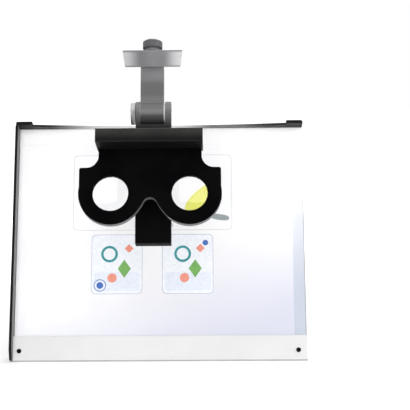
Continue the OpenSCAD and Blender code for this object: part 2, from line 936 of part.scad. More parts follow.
// The hollow curve between a shoulder and the neck
module neck_fillet(side) {
    difference() {
        translate([side > 0 ? neck_hw - over : -neck_hw - neck_r, shoulder_up - over])
            square([neck_r + over, neck_r + over]);
        translate([side * (neck_hw + neck_r), shoulder_up + neck_r])
            circle(r = neck_r);
    }
}

// Points along an arc, from the first angle to the last
function arc_points(middle, r, from, to, steps) =
    [for (i = [0 : steps]) middle + r * [cos(from + (to - from) * i / steps), sin(from + (to - from) * i / steps)]];

function mirrored(points) = [for (i = [len(points) - 1 : -1 : 0]) [-points[i][0], points[i][1]]];

// The web that joins the two lens rims over the nose. Its lower edge is a round arch, and on each
// side a flare of the opposite curve that touches the arch and runs on into the lens rim.
module nose_web() {
    arch = [0, -nose_down - nose_r];
    rim = [eye_x, 0];
    reach = norm(rim - arch);
    to_flare = nose_r + nose_flare_r;
    flare_to_rim = nose_flare_r - rim_r + flare_bite;
    rise = (reach * reach + to_flare * to_flare - flare_to_rim * flare_to_rim) / (2 * reach * to_flare);
    lead = atan2(rim[1] - arch[1], rim[0] - arch[0]) + acos(min(1, rise));
    flare = arch + to_flare * [cos(lead), sin(lead)];
    last = atan2(rim[1] - flare[1], rim[0] - flare[0]) + 360;
    right_flare = arc_points(flare, nose_flare_r, lead + 180, last, 12);
    top = arc_points(arch, nose_r, 180 - lead, lead, 24);
    polygon(concat([[-eye_x, shoulder_r]], mirrored(right_flare), top, right_flare, [[eye_x, shoulder_r]]));
}

module face_mask() {
    color(black)
        lean_back()
            difference() {
                plate_y(-mask_out, -mask_back)
                    translate([0, lens_z])
                        mask_outline();
                for (x = [-eye_x, eye_x]) {
                    along_y(x, lens_z, -mask_out - over, -mask_back + over, eye_d / 2);
                    along_y(x, lens_z, -mask_out - over, -mask_out + eye_ring_sink, eye_ring_d / 2);
                }
                for (p = plate_screw_places)
                    screw_hole_y(p[0], lens_z + p[1], -mask_back - 2.5, -mask_back + over, small_screw_d);
            }
}

module lens_plate() {
    color(black)
        lean_back()
            difference() {
                plate_y(-mask_back, -plate_back)
                    translate([0, lens_z])
                        mask_outline();
                for (x = [-eye_x, eye_x])
                    along_y(x, lens_z, -mask_back - over, -plate_back + over, lens_bore_r);
                for (p = plate_screw_places)
                    screw_hole_y(p[0], lens_z + p[1], -mask_back - over, -plate_back + over, small_screw_d);
                for (x = [-1, 1], z = spine_screw_zs)
                    screw_hole_y(x * spacer_w / 4, z, -plate_back - plate_t + 1, -plate_back + over, spine_screw_d);
                for (x = brow_screw_xs)
                    along_z(x, -mask_back + plate_t / 2, brow_z - 7, brow_z + over, small_screw_d / 2 + bore_gap);
            }
}

// A shelf on the mask's neck, with an upright lip that the forehead rests on
module brow_rest() {
    lip_top = brow_lip_h;
    color(black)
        lean_back()
            difference() {
                plate_x(-brow_hw, brow_hw)
                    translate([-brow_out, brow_z]) {
                        translate([brow_t / 2, 0])
                            square([brow_out - plate_back - brow_t / 2, brow_t]);
                        translate([0, brow_t / 2])
                            square([brow_t, lip_top - brow_t]);
                        translate([brow_t / 2, brow_t / 2])
                            circle(r = brow_t / 2);
                        translate([brow_t / 2, lip_top - brow_t / 2])
                            circle(r = brow_t / 2);
                        difference() {
                            translate([brow_t / 2, brow_t / 2])
                                square([brow_t / 2 + brow_fillet, brow_t / 2 + brow_fillet]);
                            translate([brow_t + brow_fillet, brow_t + brow_fillet])
                                circle(r = brow_fillet);
                        }
                    }
                for (x = brow_screw_xs)
                    along_z(x, -mask_back + plate_t / 2, brow_z - over, brow_z + brow_t + over, small_screw_d / 2 + bore_gap);
            }
}

module brow_screws() {
    color(steel)
        lean_back()
            for (x = brow_screw_xs) {
                along_z(x, -mask_back + plate_t / 2, brow_z - 6.5, brow_z + brow_t + over / 2, small_screw_d / 2);
                along_z(x, -mask_back + plate_t / 2, brow_z + brow_t, brow_z + brow_t + small_head_t, small_head_d / 2);
            }
}

module plate_screws() {
    color(steel)
        lean_back()
            for (p = plate_screw_places)
                screw_y(p[0], lens_z + p[1], -plate_back, 1, plate_t + 2,
                    small_screw_d, small_head_d, small_head_t);
}

module spine_screws() {
    color(steel)
        lean_back()
            for (x = [-1, 1], z = spine_screw_zs)
                screw_y(x * spacer_w / 4, z, -spine_back, 1, plate_back - spine_back + plate_t - 1.5,
                    spine_screw_d, spine_head_d, spine_head_t);
}

// A flat-backed lens whose thickest point lies outwards of its centre, for the side given
module lens(side) {
    translate([side * eye_x, -mask_back, lens_z])
        rotate([-90, 0, 0])
            intersection() {
                cylinder(h = lens_t, d = lens_d, $fn = 180);
                translate([side * lens_shift, 0, lens_t - lens_r])
                    sphere(r = lens_r, $fn = 480);
            }
}

module lens_left() {
    color(clear)
        lean_back()
            lens(-1);
}

module lens_right() {
    color(clear)
        lean_back()
            lens(1);
}

// A ring that closes the lens bore from behind
module lens_ring(side) {
    difference() {
        union() {
            along_y(side * eye_x, lens_z, -plate_back, -plate_back + ring_t, ring_d / 2);
            along_y(side * eye_x, lens_z, -plate_back - ring_spigot, -plate_back + over, lens_d / 2);
        }
        along_y(side * eye_x, lens_z, -mask_out, 0, ring_inner_d / 2);
    }
}

module lens_ring_left() {
    color(black)
        lean_back()
            lens_ring(-1);
}

module lens_ring_right() {
    color(black)
        lean_back()
            lens_ring(1);
}

// The wall between the two views, which tapers towards the board
module septum() {
    back = -spine_back;
    color(black)
        lean_back()
            difference() {
                plate_x(-septum_t / 2, septum_t / 2)
                    polygon([
                        [back - septum_seat + flat_gap, septum_foot],
                        [back, septum_foot],
                        [back + septum_reach, lens_z - septum_far_down],
                        [back + septum_reach, lens_z + septum_far_up],
                        [back, septum_top],
                        [back - septum_seat + flat_gap, septum_top]
                    ]);
                for (z = septum_screw_zs)
                    along_x(-spine_back - septum_seat / 2, z, -septum_t, septum_t, small_screw_d / 2 + bore_gap);
            }
}

module septum_screws() {
    color(steel)
        lean_back()
            for (z = septum_screw_zs) {
                along_x(-spine_back - septum_seat / 2, z, -spine_left / 2 + 1, spine_right + over / 2, small_screw_d / 2);
                along_x(-spine_back - septum_seat / 2, z, spine_right, spine_right + small_head_t, small_head_d / 2);
            }
}

back_board();
face_board();
side_stop();
top_lip();
corner_clip_left();
corner_clip_right();
clip_screws();
ledge();
ledge_screws();
base_strip();
picture_sheet();
prop_leg();
leg_foot();
leg_hinge_bracket();
leg_hinge_pin();
rail_bracket();
bracket_screws();
rail_clamp_knob();
rail();
rail_stop_screw();
crosshead();
crosshead_screw();
stalk();
swivel_washer();
cap_nut();
backbone();
friction_washers();
tilt_bolt();
tilt_knob();
spacer_block();
face_mask();
lens_plate();
brow_rest();
brow_screws();
plate_screws();
spine_screws();
lens_left();
lens_right();
lens_ring_left();
lens_ring_right();
septum();
septum_screws();
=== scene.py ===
"""Table-top stereoscope with a leaning picture board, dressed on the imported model.

Lengths are metres in the model's frame: X to the right, Y away from the viewer, Z up. The board
leans back by 20 degrees, and much of the object is square to it. Its own axes are x, v, which runs
into the board, and u, which runs up along it, with the front face of the board at v = 0.
"""
import json
import logging
import math
from dataclasses import dataclass, field
from enum import Enum
from typing import Callable, Optional, Sequence

import bmesh
import bpy
import numpy as np
from mathutils import Matrix, Vector


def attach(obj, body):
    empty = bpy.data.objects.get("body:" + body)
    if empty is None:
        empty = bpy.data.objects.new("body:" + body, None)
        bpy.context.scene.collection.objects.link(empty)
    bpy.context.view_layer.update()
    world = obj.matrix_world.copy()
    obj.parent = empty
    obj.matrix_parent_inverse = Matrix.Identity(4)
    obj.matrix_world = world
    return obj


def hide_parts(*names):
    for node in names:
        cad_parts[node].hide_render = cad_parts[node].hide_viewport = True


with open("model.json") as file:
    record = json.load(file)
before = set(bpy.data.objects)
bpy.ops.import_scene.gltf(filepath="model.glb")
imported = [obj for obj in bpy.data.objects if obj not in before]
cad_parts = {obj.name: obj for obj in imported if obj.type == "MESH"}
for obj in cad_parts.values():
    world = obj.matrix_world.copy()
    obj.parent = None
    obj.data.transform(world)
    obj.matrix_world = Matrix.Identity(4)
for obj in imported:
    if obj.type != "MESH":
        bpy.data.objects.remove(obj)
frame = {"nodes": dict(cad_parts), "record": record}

log = logging.getLogger("stereoscope")

Triple = tuple[float, float, float]
Skin = tuple[np.ndarray, list[tuple[int, ...]]]
Socket = bpy.types.NodeSocket
MM = 0.001
BODY_OF = {
    node: body for body, nodes in frame["record"]["behaviour"]["bodies"].items() for node in nodes
}
# Radius in mm of the innermost ring of a turned piece, which a fan closes.
TIP = 0.3


def srgb(red: float, green: float, blue: float) -> Triple:
    """Turns a screen colour into the linear one that shaders use.

    Args:
        red, green, blue: Parts of the colour, 0 to 255.

    Returns:
        The linear colour. A part c is c / 12.92 when dark and ((c + 0.055) / 1.055) ** 2.4 above.
    """
    parts = (np.array([red, green, blue]) / 255).tolist()
    return tuple(c / 12.92 if c <= 0.04045 else ((c + 0.055) / 1.055) ** 2.4 for c in parts)


@dataclass(frozen=True)
class BoardAxes:
    """The leaning axes of the board, in the frame of the model.

    Args:
        lean: Angle of the board from upright, in radians.
        strip: Thickness of the strip under the board's foot.
        ledge: How far the ledge stands out from the board's face.
    """

    lean: float = math.radians(20)
    strip: float = 1.2 * MM
    ledge: float = 7 * MM

    @property
    def rise(self) -> float:
        """Height of the axes' origin, the lower front corner of the board, over the table."""
        return self.strip - self.ledge * math.sin(self.lean)

    @property
    def into(self) -> np.ndarray:
        """Unit vector into the board."""
        return np.array([0.0, math.cos(self.lean), -math.sin(self.lean)])

    @property
    def up(self) -> np.ndarray:
        """Unit vector up along the board."""
        return np.array([0.0, math.sin(self.lean), math.cos(self.lean)])

    @property
    def turn(self) -> np.ndarray:
        """Rows that carry a (x, v, u) point to the model's frame."""
        return np.stack([np.array([1.0, 0.0, 0.0]), self.into, self.up])

    def place(self, points: np.ndarray) -> np.ndarray:
        """Carries points of shape (n, 3) from (x, v, u) to the model's frame, in metres."""
        return points @ self.turn + np.array([0.0, 0.0, self.rise])

    def read(self, points: np.ndarray) -> np.ndarray:
        """Carries points of shape (n, 3) from the model's frame to (x, v, u), in metres."""
        return (points - np.array([0.0, 0.0, self.rise])) @ self.turn.T


AXES = BoardAxes()
RIGHT = (1.0, 0.0, 0.0)
UPRIGHT = (0.0, 0.0, 1.0)
UP_BOARD = tuple(AXES.up.tolist())
INTO_BOARD = tuple(AXES.into.tolist())


# Mesh making


def threes(items: bpy.types.bpy_prop_collection, key: str, kind: type = float) -> np.ndarray:
    """Reads a property of three numbers from all the vertices or triangles of a mesh.

    Args:
        items: The vertices or triangles.
        key: Blender's name of the property.
        kind: Kind of the numbers.

    Returns:
        The numbers, of shape (n, 3).
    """
    found = np.empty(len(items) * 3, dtype=kind)
    items.foreach_get(key, found)
    return found.reshape(-1, 3)


def surface(rows: np.ndarray, ends: bool = True) -> Skin:
    """Joins rings of points into a closed skin.

    Point j of ring i is joined to its neighbours i + 1 and j + 1, counted round the ring. A ring at
    each end is closed by a fan to the ring's mean point.

    Args:
        rows: Points of shape (rings, points in a ring, 3), the rings in order.
        ends: True closes both ends. False joins the last ring to the first.

    Returns:
        The vertices of shape (n, 3) and the faces.
    """
    count, around = rows.shape[:2]
    i, j = np.meshgrid(np.arange(count - (1 if ends else 0)), np.arange(around), indexing="ij")
    after, below = (j + 1) % around, (i + 1) % count
    quads = np.stack([i * around + j, i * around + after,
                      below * around + after, below * around + j], -1)
    faces = [tuple(q) for q in quads.reshape(-1, 4).tolist()]
    points = rows.reshape(-1, 3)
    if ends:
        points = np.concatenate([points, rows[0].mean(0)[None], rows[-1].mean(0)[None]])
        k = np.arange(around)
        first, last = count * around, count * around + 1
        last_row = (count - 1) * around
        first_fan = np.stack([np.full(around, first), (k + 1) % around, k], -1)
        last_fan = np.stack([np.full(around, last), last_row + k, last_row + (k + 1) % around], -1)
        faces += [tuple(t) for t in np.concatenate([first_fan, last_fan]).tolist()]
    return points, faces


def on_board(rings: np.ndarray, ends: bool = True) -> Skin:
    """Joins rings of (x, v, u) points into a closed skin in the model's frame.

    Args:
        rings: Points of shape (rings, points in a ring, 3) in metres.
        ends: True closes both ends. False joins the last ring to the first.

    Returns:
        Vertices and faces.
    """
    points, faces = surface(rings, ends)
    return AXES.place(points), faces


def at_depth(flat: np.ndarray, v: float) -> np.ndarray:
    """Sets an outline of (x, u) points at the depth v, as (x, v, u) points."""
    return np.stack([flat[:, 0], np.full(len(flat), v), flat[:, 1]], -1)


def inset(outline: np.ndarray, distance: float) -> np.ndarray:
    """Moves each point of a closed outline inwards, square to the line between its neighbours.

    Args:
        outline: Points of shape (n, 2), counter-clockwise.
        distance: How far, in the units of the points.

    Returns:
        The moved points.
    """
    along = np.roll(outline, -1, 0) - np.roll(outline, 1, 0)
    along /= np.linalg.norm(along, axis=1, keepdims=True)
    return outline + distance * np.stack([-along[:, 1], along[:, 0]], -1)


def rounded_ends(low: float, high: float, edge: float) -> list[tuple[float, float]]:
    """Works out the rings of a block whose two ends have quarter-round edges.

    At the angle a, from 0 to a right angle, a ring lies edge * (1 - cos a) past the low end and is
    drawn in by edge * (1 - sin a). At the high end the two are exchanged.

    Args:
        low, high: Places of the two ends.
        edge: Radius of the edges.

    Returns:
        The place of each ring, and how far it is drawn in.
    """
    count = 5
    part = [(edge * (1 - math.cos(a)), edge * (1 - math.sin(a)))
            for a in np.linspace(0, math.pi / 2, count)]
    return [(low + rise, shrink) for rise, shrink in part] + [(high - s, r) for r, s in part]


def spin(profile: np.ndarray, around: int, flutes: int = 0, depth: float = 0.0,
         rim: float = math.inf) -> np.ndarray:
    """Turns a profile about an axis.

    At the angle t a point of the profile lies at (r cos t, r sin t, h). Outside the radius rim, r
    is less by depth * (1 + cos(flutes * t)) / 2.

    Args:
        profile: Points (r, h) of shape (n, 2).
        around: Points round the axis.
        flutes: Number of flutes.
        depth: Their depth.
        rim: Radius outside which they are sunk.

    Returns:
        Rings of shape (n, around, 3).
    """
    t = np.linspace(0, 2 * math.pi, around, endpoint=False)
    r, h = profile[:, :1], profile[:, 1:]
    r = r - np.where(r > rim, depth, 0.0) * (1 + np.cos(flutes * t)) / 2
    return np.stack([r * np.cos(t), r * np.sin(t), np.broadcast_to(h, r.shape)], -1)


def make_piece(name: str, skins: Sequence[Skin], crease: float) -> bpy.types.Object:
    """Makes one object of several closed skins.

    Args:
        name: Name of the piece.
        skins: Vertices and faces of each skin, in metres in the model's frame.
        crease: Angle in degrees past which an edge stays sharp.

    Returns:
        The new object, whose faces point outwards.
    """
    faces: list[tuple[int, ...]] = []
    start = 0
    for vertices, its_faces in skins:
        faces += [tuple(start + k for k in face) for face in its_faces]
        start += len(vertices)
    mesh = bpy.data.meshes.new(name)
    mesh.from_pydata(np.concatenate([vertices for vertices, _ in skins]).tolist(), [], faces)
    work = bmesh.new()
    work.from_mesh(mesh)
    bmesh.ops.recalc_face_normals(work, faces=work.faces)
    work.to_mesh(mesh)
    work.free()
    return finish_mesh(name, mesh, crease)


def finish_mesh(name: str, mesh: bpy.types.Mesh, crease: float) -> bpy.types.Object:
    """Shades a mesh smooth between its creases and links it as an object.

    Args:
        name: Name of the piece.
        mesh: Its mesh, closed and in place.
        crease: Angle in degrees past which an edge stays sharp.

    Returns:
        The linked object, with normals weighted by the area of the faces.
    """
    mesh.polygons.foreach_set("use_smooth", np.ones(len(mesh.polygons), dtype=bool))
    mesh.set_sharp_from_angle(angle=math.radians(crease))
    mesh.update()
    piece = bpy.data.objects.new(name, mesh)
    bpy.context.scene.collection.objects.link(piece)
    even = piece.modifiers.new("even_normals", "WEIGHTED_NORMAL")
    even.keep_sharp = True
    even.weight = 100
    return piece


def softened(name: str, node: str, width: float, corner: float, steps: int,
             lift: Triple) -> bpy.types.Object:
    """Copies a solid of the model and rounds its corners, as making or sanding leaves them.

    The loose triangles are joined, flat neighbours are made one face, and each edge that turns by
    more than the corner angle gets a round of the given width. The faces of the rounds carry 1 in
    the attribute "edge", and the others 0, for scuffs, which on the ledge are a painted highlight.

    Args:
        name: Name of the new piece.
        node: Name of the solid.
        width: Width of the round in metres.
        corner: Angle in degrees from which an edge is rounded.
        steps: Facets across a round.
        lift: Heights along the board between which points are raised, and how far, in metres. It
            brings an edge of the solid to its true place.

    Returns:
        The new piece, which stands for the solid.
    """
    weld, flat, crease = 2e-6, math.radians(0.2), 52
    copy = frame["nodes"][node].data.copy()
    low, high, rise = lift
    if rise:
        board = AXES.read(threes(copy.vertices, "co"))
        board[:, 2] += np.where((board[:, 2] > low) & (board[:, 2] < high), rise, 0.0)
        copy.vertices.foreach_set("co", AXES.place(board).ravel())
    work = bmesh.new()
    work.from_mesh(copy)
    bpy.data.meshes.remove(copy)
    bmesh.ops.remove_doubles(work, verts=work.verts, dist=weld)
    bmesh.ops.dissolve_limit(work, angle_limit=flat, verts=work.verts, edges=work.edges)
    corners = [e for e in work.edges
               if e.is_manifold and e.calc_face_angle(0) > math.radians(corner)]
    made = bmesh.ops.bevel(work, geom=corners, offset=width, offset_type="OFFSET", segments=steps,
                           profile=0.5, affect="EDGES", clamp_overlap=True)
    rounds = set(made["faces"])
    for face in work.faces:
        face.material_index = 0
    marks = np.array([1.0 if face in rounds else 0.0 for face in work.faces])
    mesh = bpy.data.meshes.new(name)
    work.to_mesh(mesh)
    work.free()
    mesh.attributes.new("edge", "FLOAT", "FACE").data.foreach_set("value", marks)
    piece = finish_mesh(name, mesh, crease)
    adopt(piece, node)
    return piece


def adopt(piece: bpy.types.Object, node: str) -> None:
    """Lets a piece stand for a node of the model: puts it on the node's body and hides the node.

    Args:
        piece: The piece.
        node: Name of the node.
    """
    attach(piece, BODY_OF[node])
    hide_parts(node)


def dress(piece: bpy.types.Object, material: bpy.types.Material) -> None:
    """Gives a piece one material and reports it.

    Args:
        piece: The piece.
        material: Its material.
    """
    piece.data.materials.clear()
    piece.data.materials.append(material)
    log.info("%s: %d faces, %s", piece.name, len(piece.data.polygons), material.name)


def stand_in(name: str, node: str, skins: Sequence[Skin], crease: float, finish: "Finish") -> None:
    """Makes and dresses a piece that stands for a node of the model.

    Args:
        name: Name of the piece.
        node: Name of the node.
        skins: Vertices and faces of each skin, in metres in the model's frame.
        crease: Angle in degrees past which an edge stays sharp.
        finish: Its finish.
    """
    piece = make_piece(name, skins, crease)
    adopt(piece, node)
    dress(piece, finish.material())


# Node trees


@dataclass(frozen=True)
class Tree:
    """A node tree that is written in few words.

    Args:
        tree: The tree that the nodes go into.
    """

    tree: bpy.types.NodeTree

    def node(self, kind: str, inputs: Optional[dict] = None, **settings: object) -> bpy.types.Node:
        """Adds a node.

        Args:
            kind: Blender's name of the node type, without its leading "ShaderNode".
            inputs: Values or sockets for the node's inputs, by name or number.
            settings: Settings of the node itself.

        Returns:
            The new node.
        """
        made = self.tree.nodes.new("ShaderNode" + kind)
        for key, value in settings.items():
            setattr(made, key, value)
        for key, value in (inputs or {}).items():
            if isinstance(value, Socket):
                self.tree.links.new(value, made.inputs[key])
            else:
                made.inputs[key].default_value = value
        return made

    def group(self, shared: bpy.types.NodeTree, inputs: dict) -> bpy.types.Node:
        """Places a shared effect with its own values."""
        return self.node("Group", inputs, node_tree=shared)

    def math(self, operation: str, first: object, second: object, clamp: bool = False) -> Socket:
        """Adds an operation on two values, and returns its result."""
        return self.node("Math", {0: first, 1: second}, operation=operation,
                         use_clamp=clamp).outputs[0]

    def vector(self, operation: str, first: object, second: object = (0.0, 0.0, 0.0)) -> Socket:
        """Adds an operation on two vectors, and returns its result, a vector or a value."""
        made = self.node("VectorMath", {0: first, 1: second}, operation=operation)
        return made.outputs["Value" if operation in ("DOT_PRODUCT", "LENGTH") else "Vector"]

    def mix(self, factor: object, first: object, second: object) -> Socket:
        """Adds a mix of two colours, and returns its result."""
        return self.node("Mix", {0: factor, 6: first, 7: second}, data_type="RGBA").outputs[2]

    def span(self, value: object, low: object, high: object, to_low: float = 0.0,
             to_high: float = 1.0, smooth: bool = False) -> Socket:
        """Adds a map from one range of values to another.

        Args:
            value: Value or socket that is mapped.
            low, high: Ends of its range, of which low may be the greater.
            to_low, to_high: Results at both ends.
            smooth: True eases the map in and out.

        Returns:
            The socket of the result.
        """
        kind = "SMOOTHSTEP" if smooth else "LINEAR"
        return self.node("MapRange", {0: value, 1: low, 2: high, 3: to_low, 4: to_high},
                         interpolation_type=kind).outputs[0]

    def noise(self, vector: object, scale: object, detail: float, roughness: float = 0.5) -> Socket:
        """Adds a noise, and returns its value."""
        return self.node("TexNoise", {"Vector": vector, "Scale": scale, "Detail": detail,
                                      "Roughness": roughness}).outputs[0]


def make_group(name: str, vectors: Sequence[str], values: Sequence[str],
               body: Callable[[Tree, dict], dict]) -> bpy.types.NodeTree:
    """Makes a shared effect.

    Args:
        name: Name of the group.
        vectors, values: Names of its inputs of both kinds.
        body: Writes the effect from a writer and the input sockets by name, and returns the
            sockets of the outputs by name, each one a value.

    Returns:
        The group.
    """
    tree = bpy.data.node_groups.new(name, "ShaderNodeTree")
    for key, kind in [(key, "Vector") for key in vectors] + [(key, "Float") for key in values]:
        tree.interface.new_socket(name=key, in_out="INPUT", socket_type="NodeSocket" + kind)
    entry = tree.nodes.new("NodeGroupInput")
    results = body(Tree(tree), {key: entry.outputs[key] for key in (*vectors, *values)})
    for key in results:
        tree.interface.new_socket(name=key, in_out="OUTPUT", socket_type="NodeSocketFloat")
    leave = tree.nodes.new("NodeGroupOutput")
    for key, socket in results.items():
        tree.links.new(socket, leave.inputs[key])
    return tree


def fine_grain(write: Tree, given: dict) -> dict:
    """Writes fine noise and slow patches.

    Args:
        write: Writer of the group's tree.
        given: Vector, Scale in grains to the metre, and Spread, the size of a patch in grains.

    Returns:
        Grain, noise at Scale, and Patches, noise at Scale / Spread.
    """
    fine = write.noise(given["Vector"], given["Scale"], detail=3.0, roughness=0.6)
    slow_scale = write.math("DIVIDE", given["Scale"], given["Spread"])
    slow = write.noise(given["Vector"], slow_scale, detail=2.0)
    return {"Grain": write.span(fine, 0.3, 0.7),
            "Patches": write.span(slow, 0.35, 0.65, smooth=True)}


def corner_wear_and_highlight(write: Tree, given: dict) -> dict:
    """Writes scuffs on the rounded corners, which on the ledge are a painted highlight.

    Args:
        write: Writer of the group's tree.
        given: Vector, Edge, 1 on the corners, Scale in places to the metre, and Amount.

    Returns:
        WearAndHighlight: Edge where a noise at Scale is above 1 - Amount, and 0 elsewhere.
    """
    edge_noise = write.noise(given["Vector"], given["Scale"], detail=5.0, roughness=0.7)
    marked = write.span(write.math("ADD", edge_noise, given["Amount"]), 0.85, 1.15, smooth=True)
    return {"WearAndHighlight": write.math("MULTIPLY", marked, given["Edge"], True)}


def painted_light_ramp(write: Tree, given: dict) -> dict:
    """Writes how strongly painted light and shade show: 0 where the dot product of Vector and
    Along is Start, smoothly to 1 at End.
    """
    along = write.vector("DOT_PRODUCT", given["Vector"], given["Along"])
    return {"Fade": write.span(along, given["Start"], given["End"], smooth=True)}


def drawn_lines(write: Tree, given: dict) -> dict:
    """Writes Lines: noise of Vector times Stretch, long where Stretch is small."""
    pulled = write.vector("MULTIPLY", given["Vector"], given["Stretch"])
    return {"Lines": write.span(write.noise(pulled, 1.0, detail=4.0, roughness=0.55), 0.3, 0.7)}


def turned_rings(write: Tree, given: dict) -> dict:
    """Writes the rings that a lathe leaves.

    Args:
        write: Writer of the group's tree.
        given: Vector, Centre, a point of the turning axis, Axis, its unit vector, and Scale in
            rings to the metre.

    Returns:
        Rings: noise of the distance from the turning axis.
    """
    offset = write.vector("SUBTRACT", given["Vector"], given["Centre"])
    radius = write.vector("LENGTH", write.vector("CROSS_PRODUCT", offset, given["Axis"]))
    rings = write.node("TexNoise", {"W": radius, "Scale": given["Scale"], "Detail": 3.0,
                                    "Roughness": 0.7}, noise_dimensions="1D")
    return {"Rings": write.span(rings.outputs[0], 0.3, 0.7)}


GRAIN = make_group("fine_grain", ["Vector"], ["Scale", "Spread"], fine_grain)
WEAR_AND_HIGHLIGHT = make_group("corner_wear_and_highlight", ["Vector"], ["Edge", "Scale", "Amount"], corner_wear_and_highlight)
PAINTED_LIGHT = make_group("painted_light_ramp", ["Vector", "Along"], ["Start", "End"], painted_light_ramp)
LINES = make_group("drawn_lines", ["Vector", "Stretch"], [], drawn_lines)
RINGS = make_group("turned_rings", ["Vector", "Centre", "Axis"], ["Scale"], turned_rings)


def new_material(name: str) -> tuple[bpy.types.Material, Tree, Socket]:
    """Starts a material on Object coordinates.

    Args:
        name: Name of the material.

    Returns:
        The material, the writer of its empty tree, and the socket of Object coordinates.
    """
    made = bpy.data.materials.new(name)
    made.use_nodes = True
    made.node_tree.nodes.clear()
    write = Tree(made.node_tree)
    return made, write, write.node("TexCoord").outputs["Object"]


# Finishes


@dataclass(frozen=True)
class Fade:
    """Painted light and shade: a finish's change to another colour along one direction.

    Args:
        along: Unit vector in the model's frame.
        start: Distance along it, from the model's origin, at which the change begins.
        end: Distance at which the change is complete, which may be the smaller of the two.
        colour: Colour at the end.
    """

    along: Triple
    start: float
    end: float
    colour: Triple


def board_painted_light(start: float, end: float, colour: Triple) -> Fade:
    """Makes painted light and shade as a change of colour between two heights u on the board, in
    mm.
    """
    origin = AXES.rise * AXES.up[2]
    return Fade(UP_BOARD, start * MM + origin, end * MM + origin, colour)


@dataclass(frozen=True)
class Finish:
    """What a piece is made of and how its surface looks.

    Args:
        name: Name of the material.
    """

    name: str

    def material(self) -> bpy.types.Material:
        """Gives the material, and builds it the first time.

        Returns:
            The material, one Principled shader with the inputs of the finish.
        """
        found = bpy.data.materials.get(self.name)
        if found:
            return found
        made, write, place = new_material(self.name)
        shader = write.node("BsdfPrincipled", self.inputs(write, place))
        write.node("OutputMaterial", {"Surface": shader.outputs[0]})
        return made

    def inputs(self, write: Tree, place: Socket) -> dict:
        """Writes what feeds the shader, from Object coordinates, and returns its inputs."""
        raise NotImplementedError

    def shaded(self, write: Tree, place: Socket, colour: Socket, painted_lights: Sequence[Fade]) -> Socket:
        """Adds painted light and shade as changes of colour, one over the other.

        Args:
            write: Writer of the material's tree.
            place: Socket of Object coordinates.
            colour: Socket of the unchanged colour.
            painted_lights: The painted light and shade.

        Returns:
            The socket of the changed colour.
        """
        for light_ramp in painted_lights:
            turned = write.group(PAINTED_LIGHT, {"Vector": place, "Along": light_ramp.along, "Start": light_ramp.start,
                                        "End": light_ramp.end})
            colour = write.mix(turned.outputs["Fade"], colour, (*light_ramp.colour, 1))
        return colour

    def relief(self, write: Tree, marks: Socket, patches: Socket, rough: float, spread: float,
               height: float) -> dict:
        """Lets roughness and bump follow the marks of a surface.

        Args:
            write: Writer of the material's tree.
            marks: Socket of the fine marks.
            patches: Socket of the slow patches.
            rough: Roughness where both are 0.
            spread: How much the marks add to it where they are 1. The patches add half of that.
            height: Height of the marks.

        Returns:
            The shader's inputs Roughness and Normal.
        """
        fine = write.span(marks, 0.0, 1.0, rough, rough + spread)
        both = write.math("ADD", fine, write.math("MULTIPLY", patches, spread / 2))
        bump = write.node("Bump", {"Height": marks, "Distance": height, "Strength": 1.0})
        return {"Roughness": both, "Normal": bump.outputs[0]}


@dataclass(frozen=True)
class Coating(Finish):
    """Paint, lacquer, moulded plastic, card or rubber.

    Args:
        colour: Its colour.
        patch: Colour of its slow patches.
        rough: Roughness where the grain is low.
        gloss: Strength of the plain reflection, 0.5 for common plastic.
        spread: How much rougher the high grain is.
        scale: Grains to the metre.
        calm: Size of a patch in grains.
        height: Height of the grain.
        wear_and_highlight: Share of the corners that takes the edge colour, 0 to 1.
        worn_and_highlit: Colour of its scuffed corners, which on the ledge is a painted highlight.
        coat: Strength of a clear coat.
        painted_lights: Painted light and shade, as changes to other colours.
        stretch: Factors that stretch the grain along x, y and z.
        cut: Painted bounce light on edges that look down, whose faces carry 1 in
        the attribute of that name.
    """

    colour: Triple
    patch: Triple
    rough: float
    gloss: float
    spread: float = 0.12
    scale: float = 2400.0
    calm: float = 60.0
    height: float = 0.00002
    wear_and_highlight: float = 0.0
    worn_and_highlit: Triple = (0.3, 0.3, 0.3)
    coat: float = 0.0
    painted_lights: tuple[Fade, ...] = ()
    stretch: Triple = (1.0, 1.0, 1.0)
    cut: Optional[Triple] = None

    # Scuffs, and the ledge's painted highlight, to the metre, and roughness of the clear coat.
    RUBS, COAT_ROUGH = 140.0, 0.25

    def inputs(self, write: Tree, place: Socket) -> dict:
        """Lets colour, roughness and bump follow the grain, and adds painted light and scuffs.

        Args:
            write: Writer of the material's tree.
            place: Socket of Object coordinates.

        Returns:
            The shader's inputs.
        """
        pulled = write.node("Mapping", {0: place, 3: self.stretch}).outputs[0]
        grain = write.group(GRAIN, {"Vector": pulled, "Scale": self.scale, "Spread": self.calm})
        patches = grain.outputs["Patches"]
        colour = write.mix(patches, (*self.colour, 1), (*self.patch, 1))
        # Painted light and shade, as changes of colour along directions.
        colour = self.shaded(write, place, colour, self.painted_lights)
        # Painted light: edges that look down are painted grey, as bounce light from below.
        if self.cut:
            underlit = write.node("Attribute", attribute_name="cut").outputs["Fac"]
            colour = write.mix(underlit, colour, (*self.cut, 1))
        # Scuffs on the rounded corners; on the ledge they are a painted highlight.
        if self.wear_and_highlight:
            edge = write.node("Attribute", attribute_name="edge").outputs["Fac"]
            worn_and_highlit = write.group(WEAR_AND_HIGHLIGHT, {"Vector": place, "Edge": edge, "Scale": self.RUBS,
                                      "Amount": self.wear_and_highlight})
            colour = write.mix(worn_and_highlit.outputs["WearAndHighlight"], colour, (*self.worn_and_highlit, 1))
        return {"Base Color": colour, "Specular IOR Level": self.gloss, "Coat Weight": self.coat,
                "Coat Roughness": self.COAT_ROUGH,
                **self.relief(write, grain.outputs["Grain"], patches, self.rough, self.spread,
                              self.height)}


class Making(Enum):
    """How a metal piece got its surface."""

    DRAWN = "drawn"
    TURNED = "turned"
    PLATED = "plated"


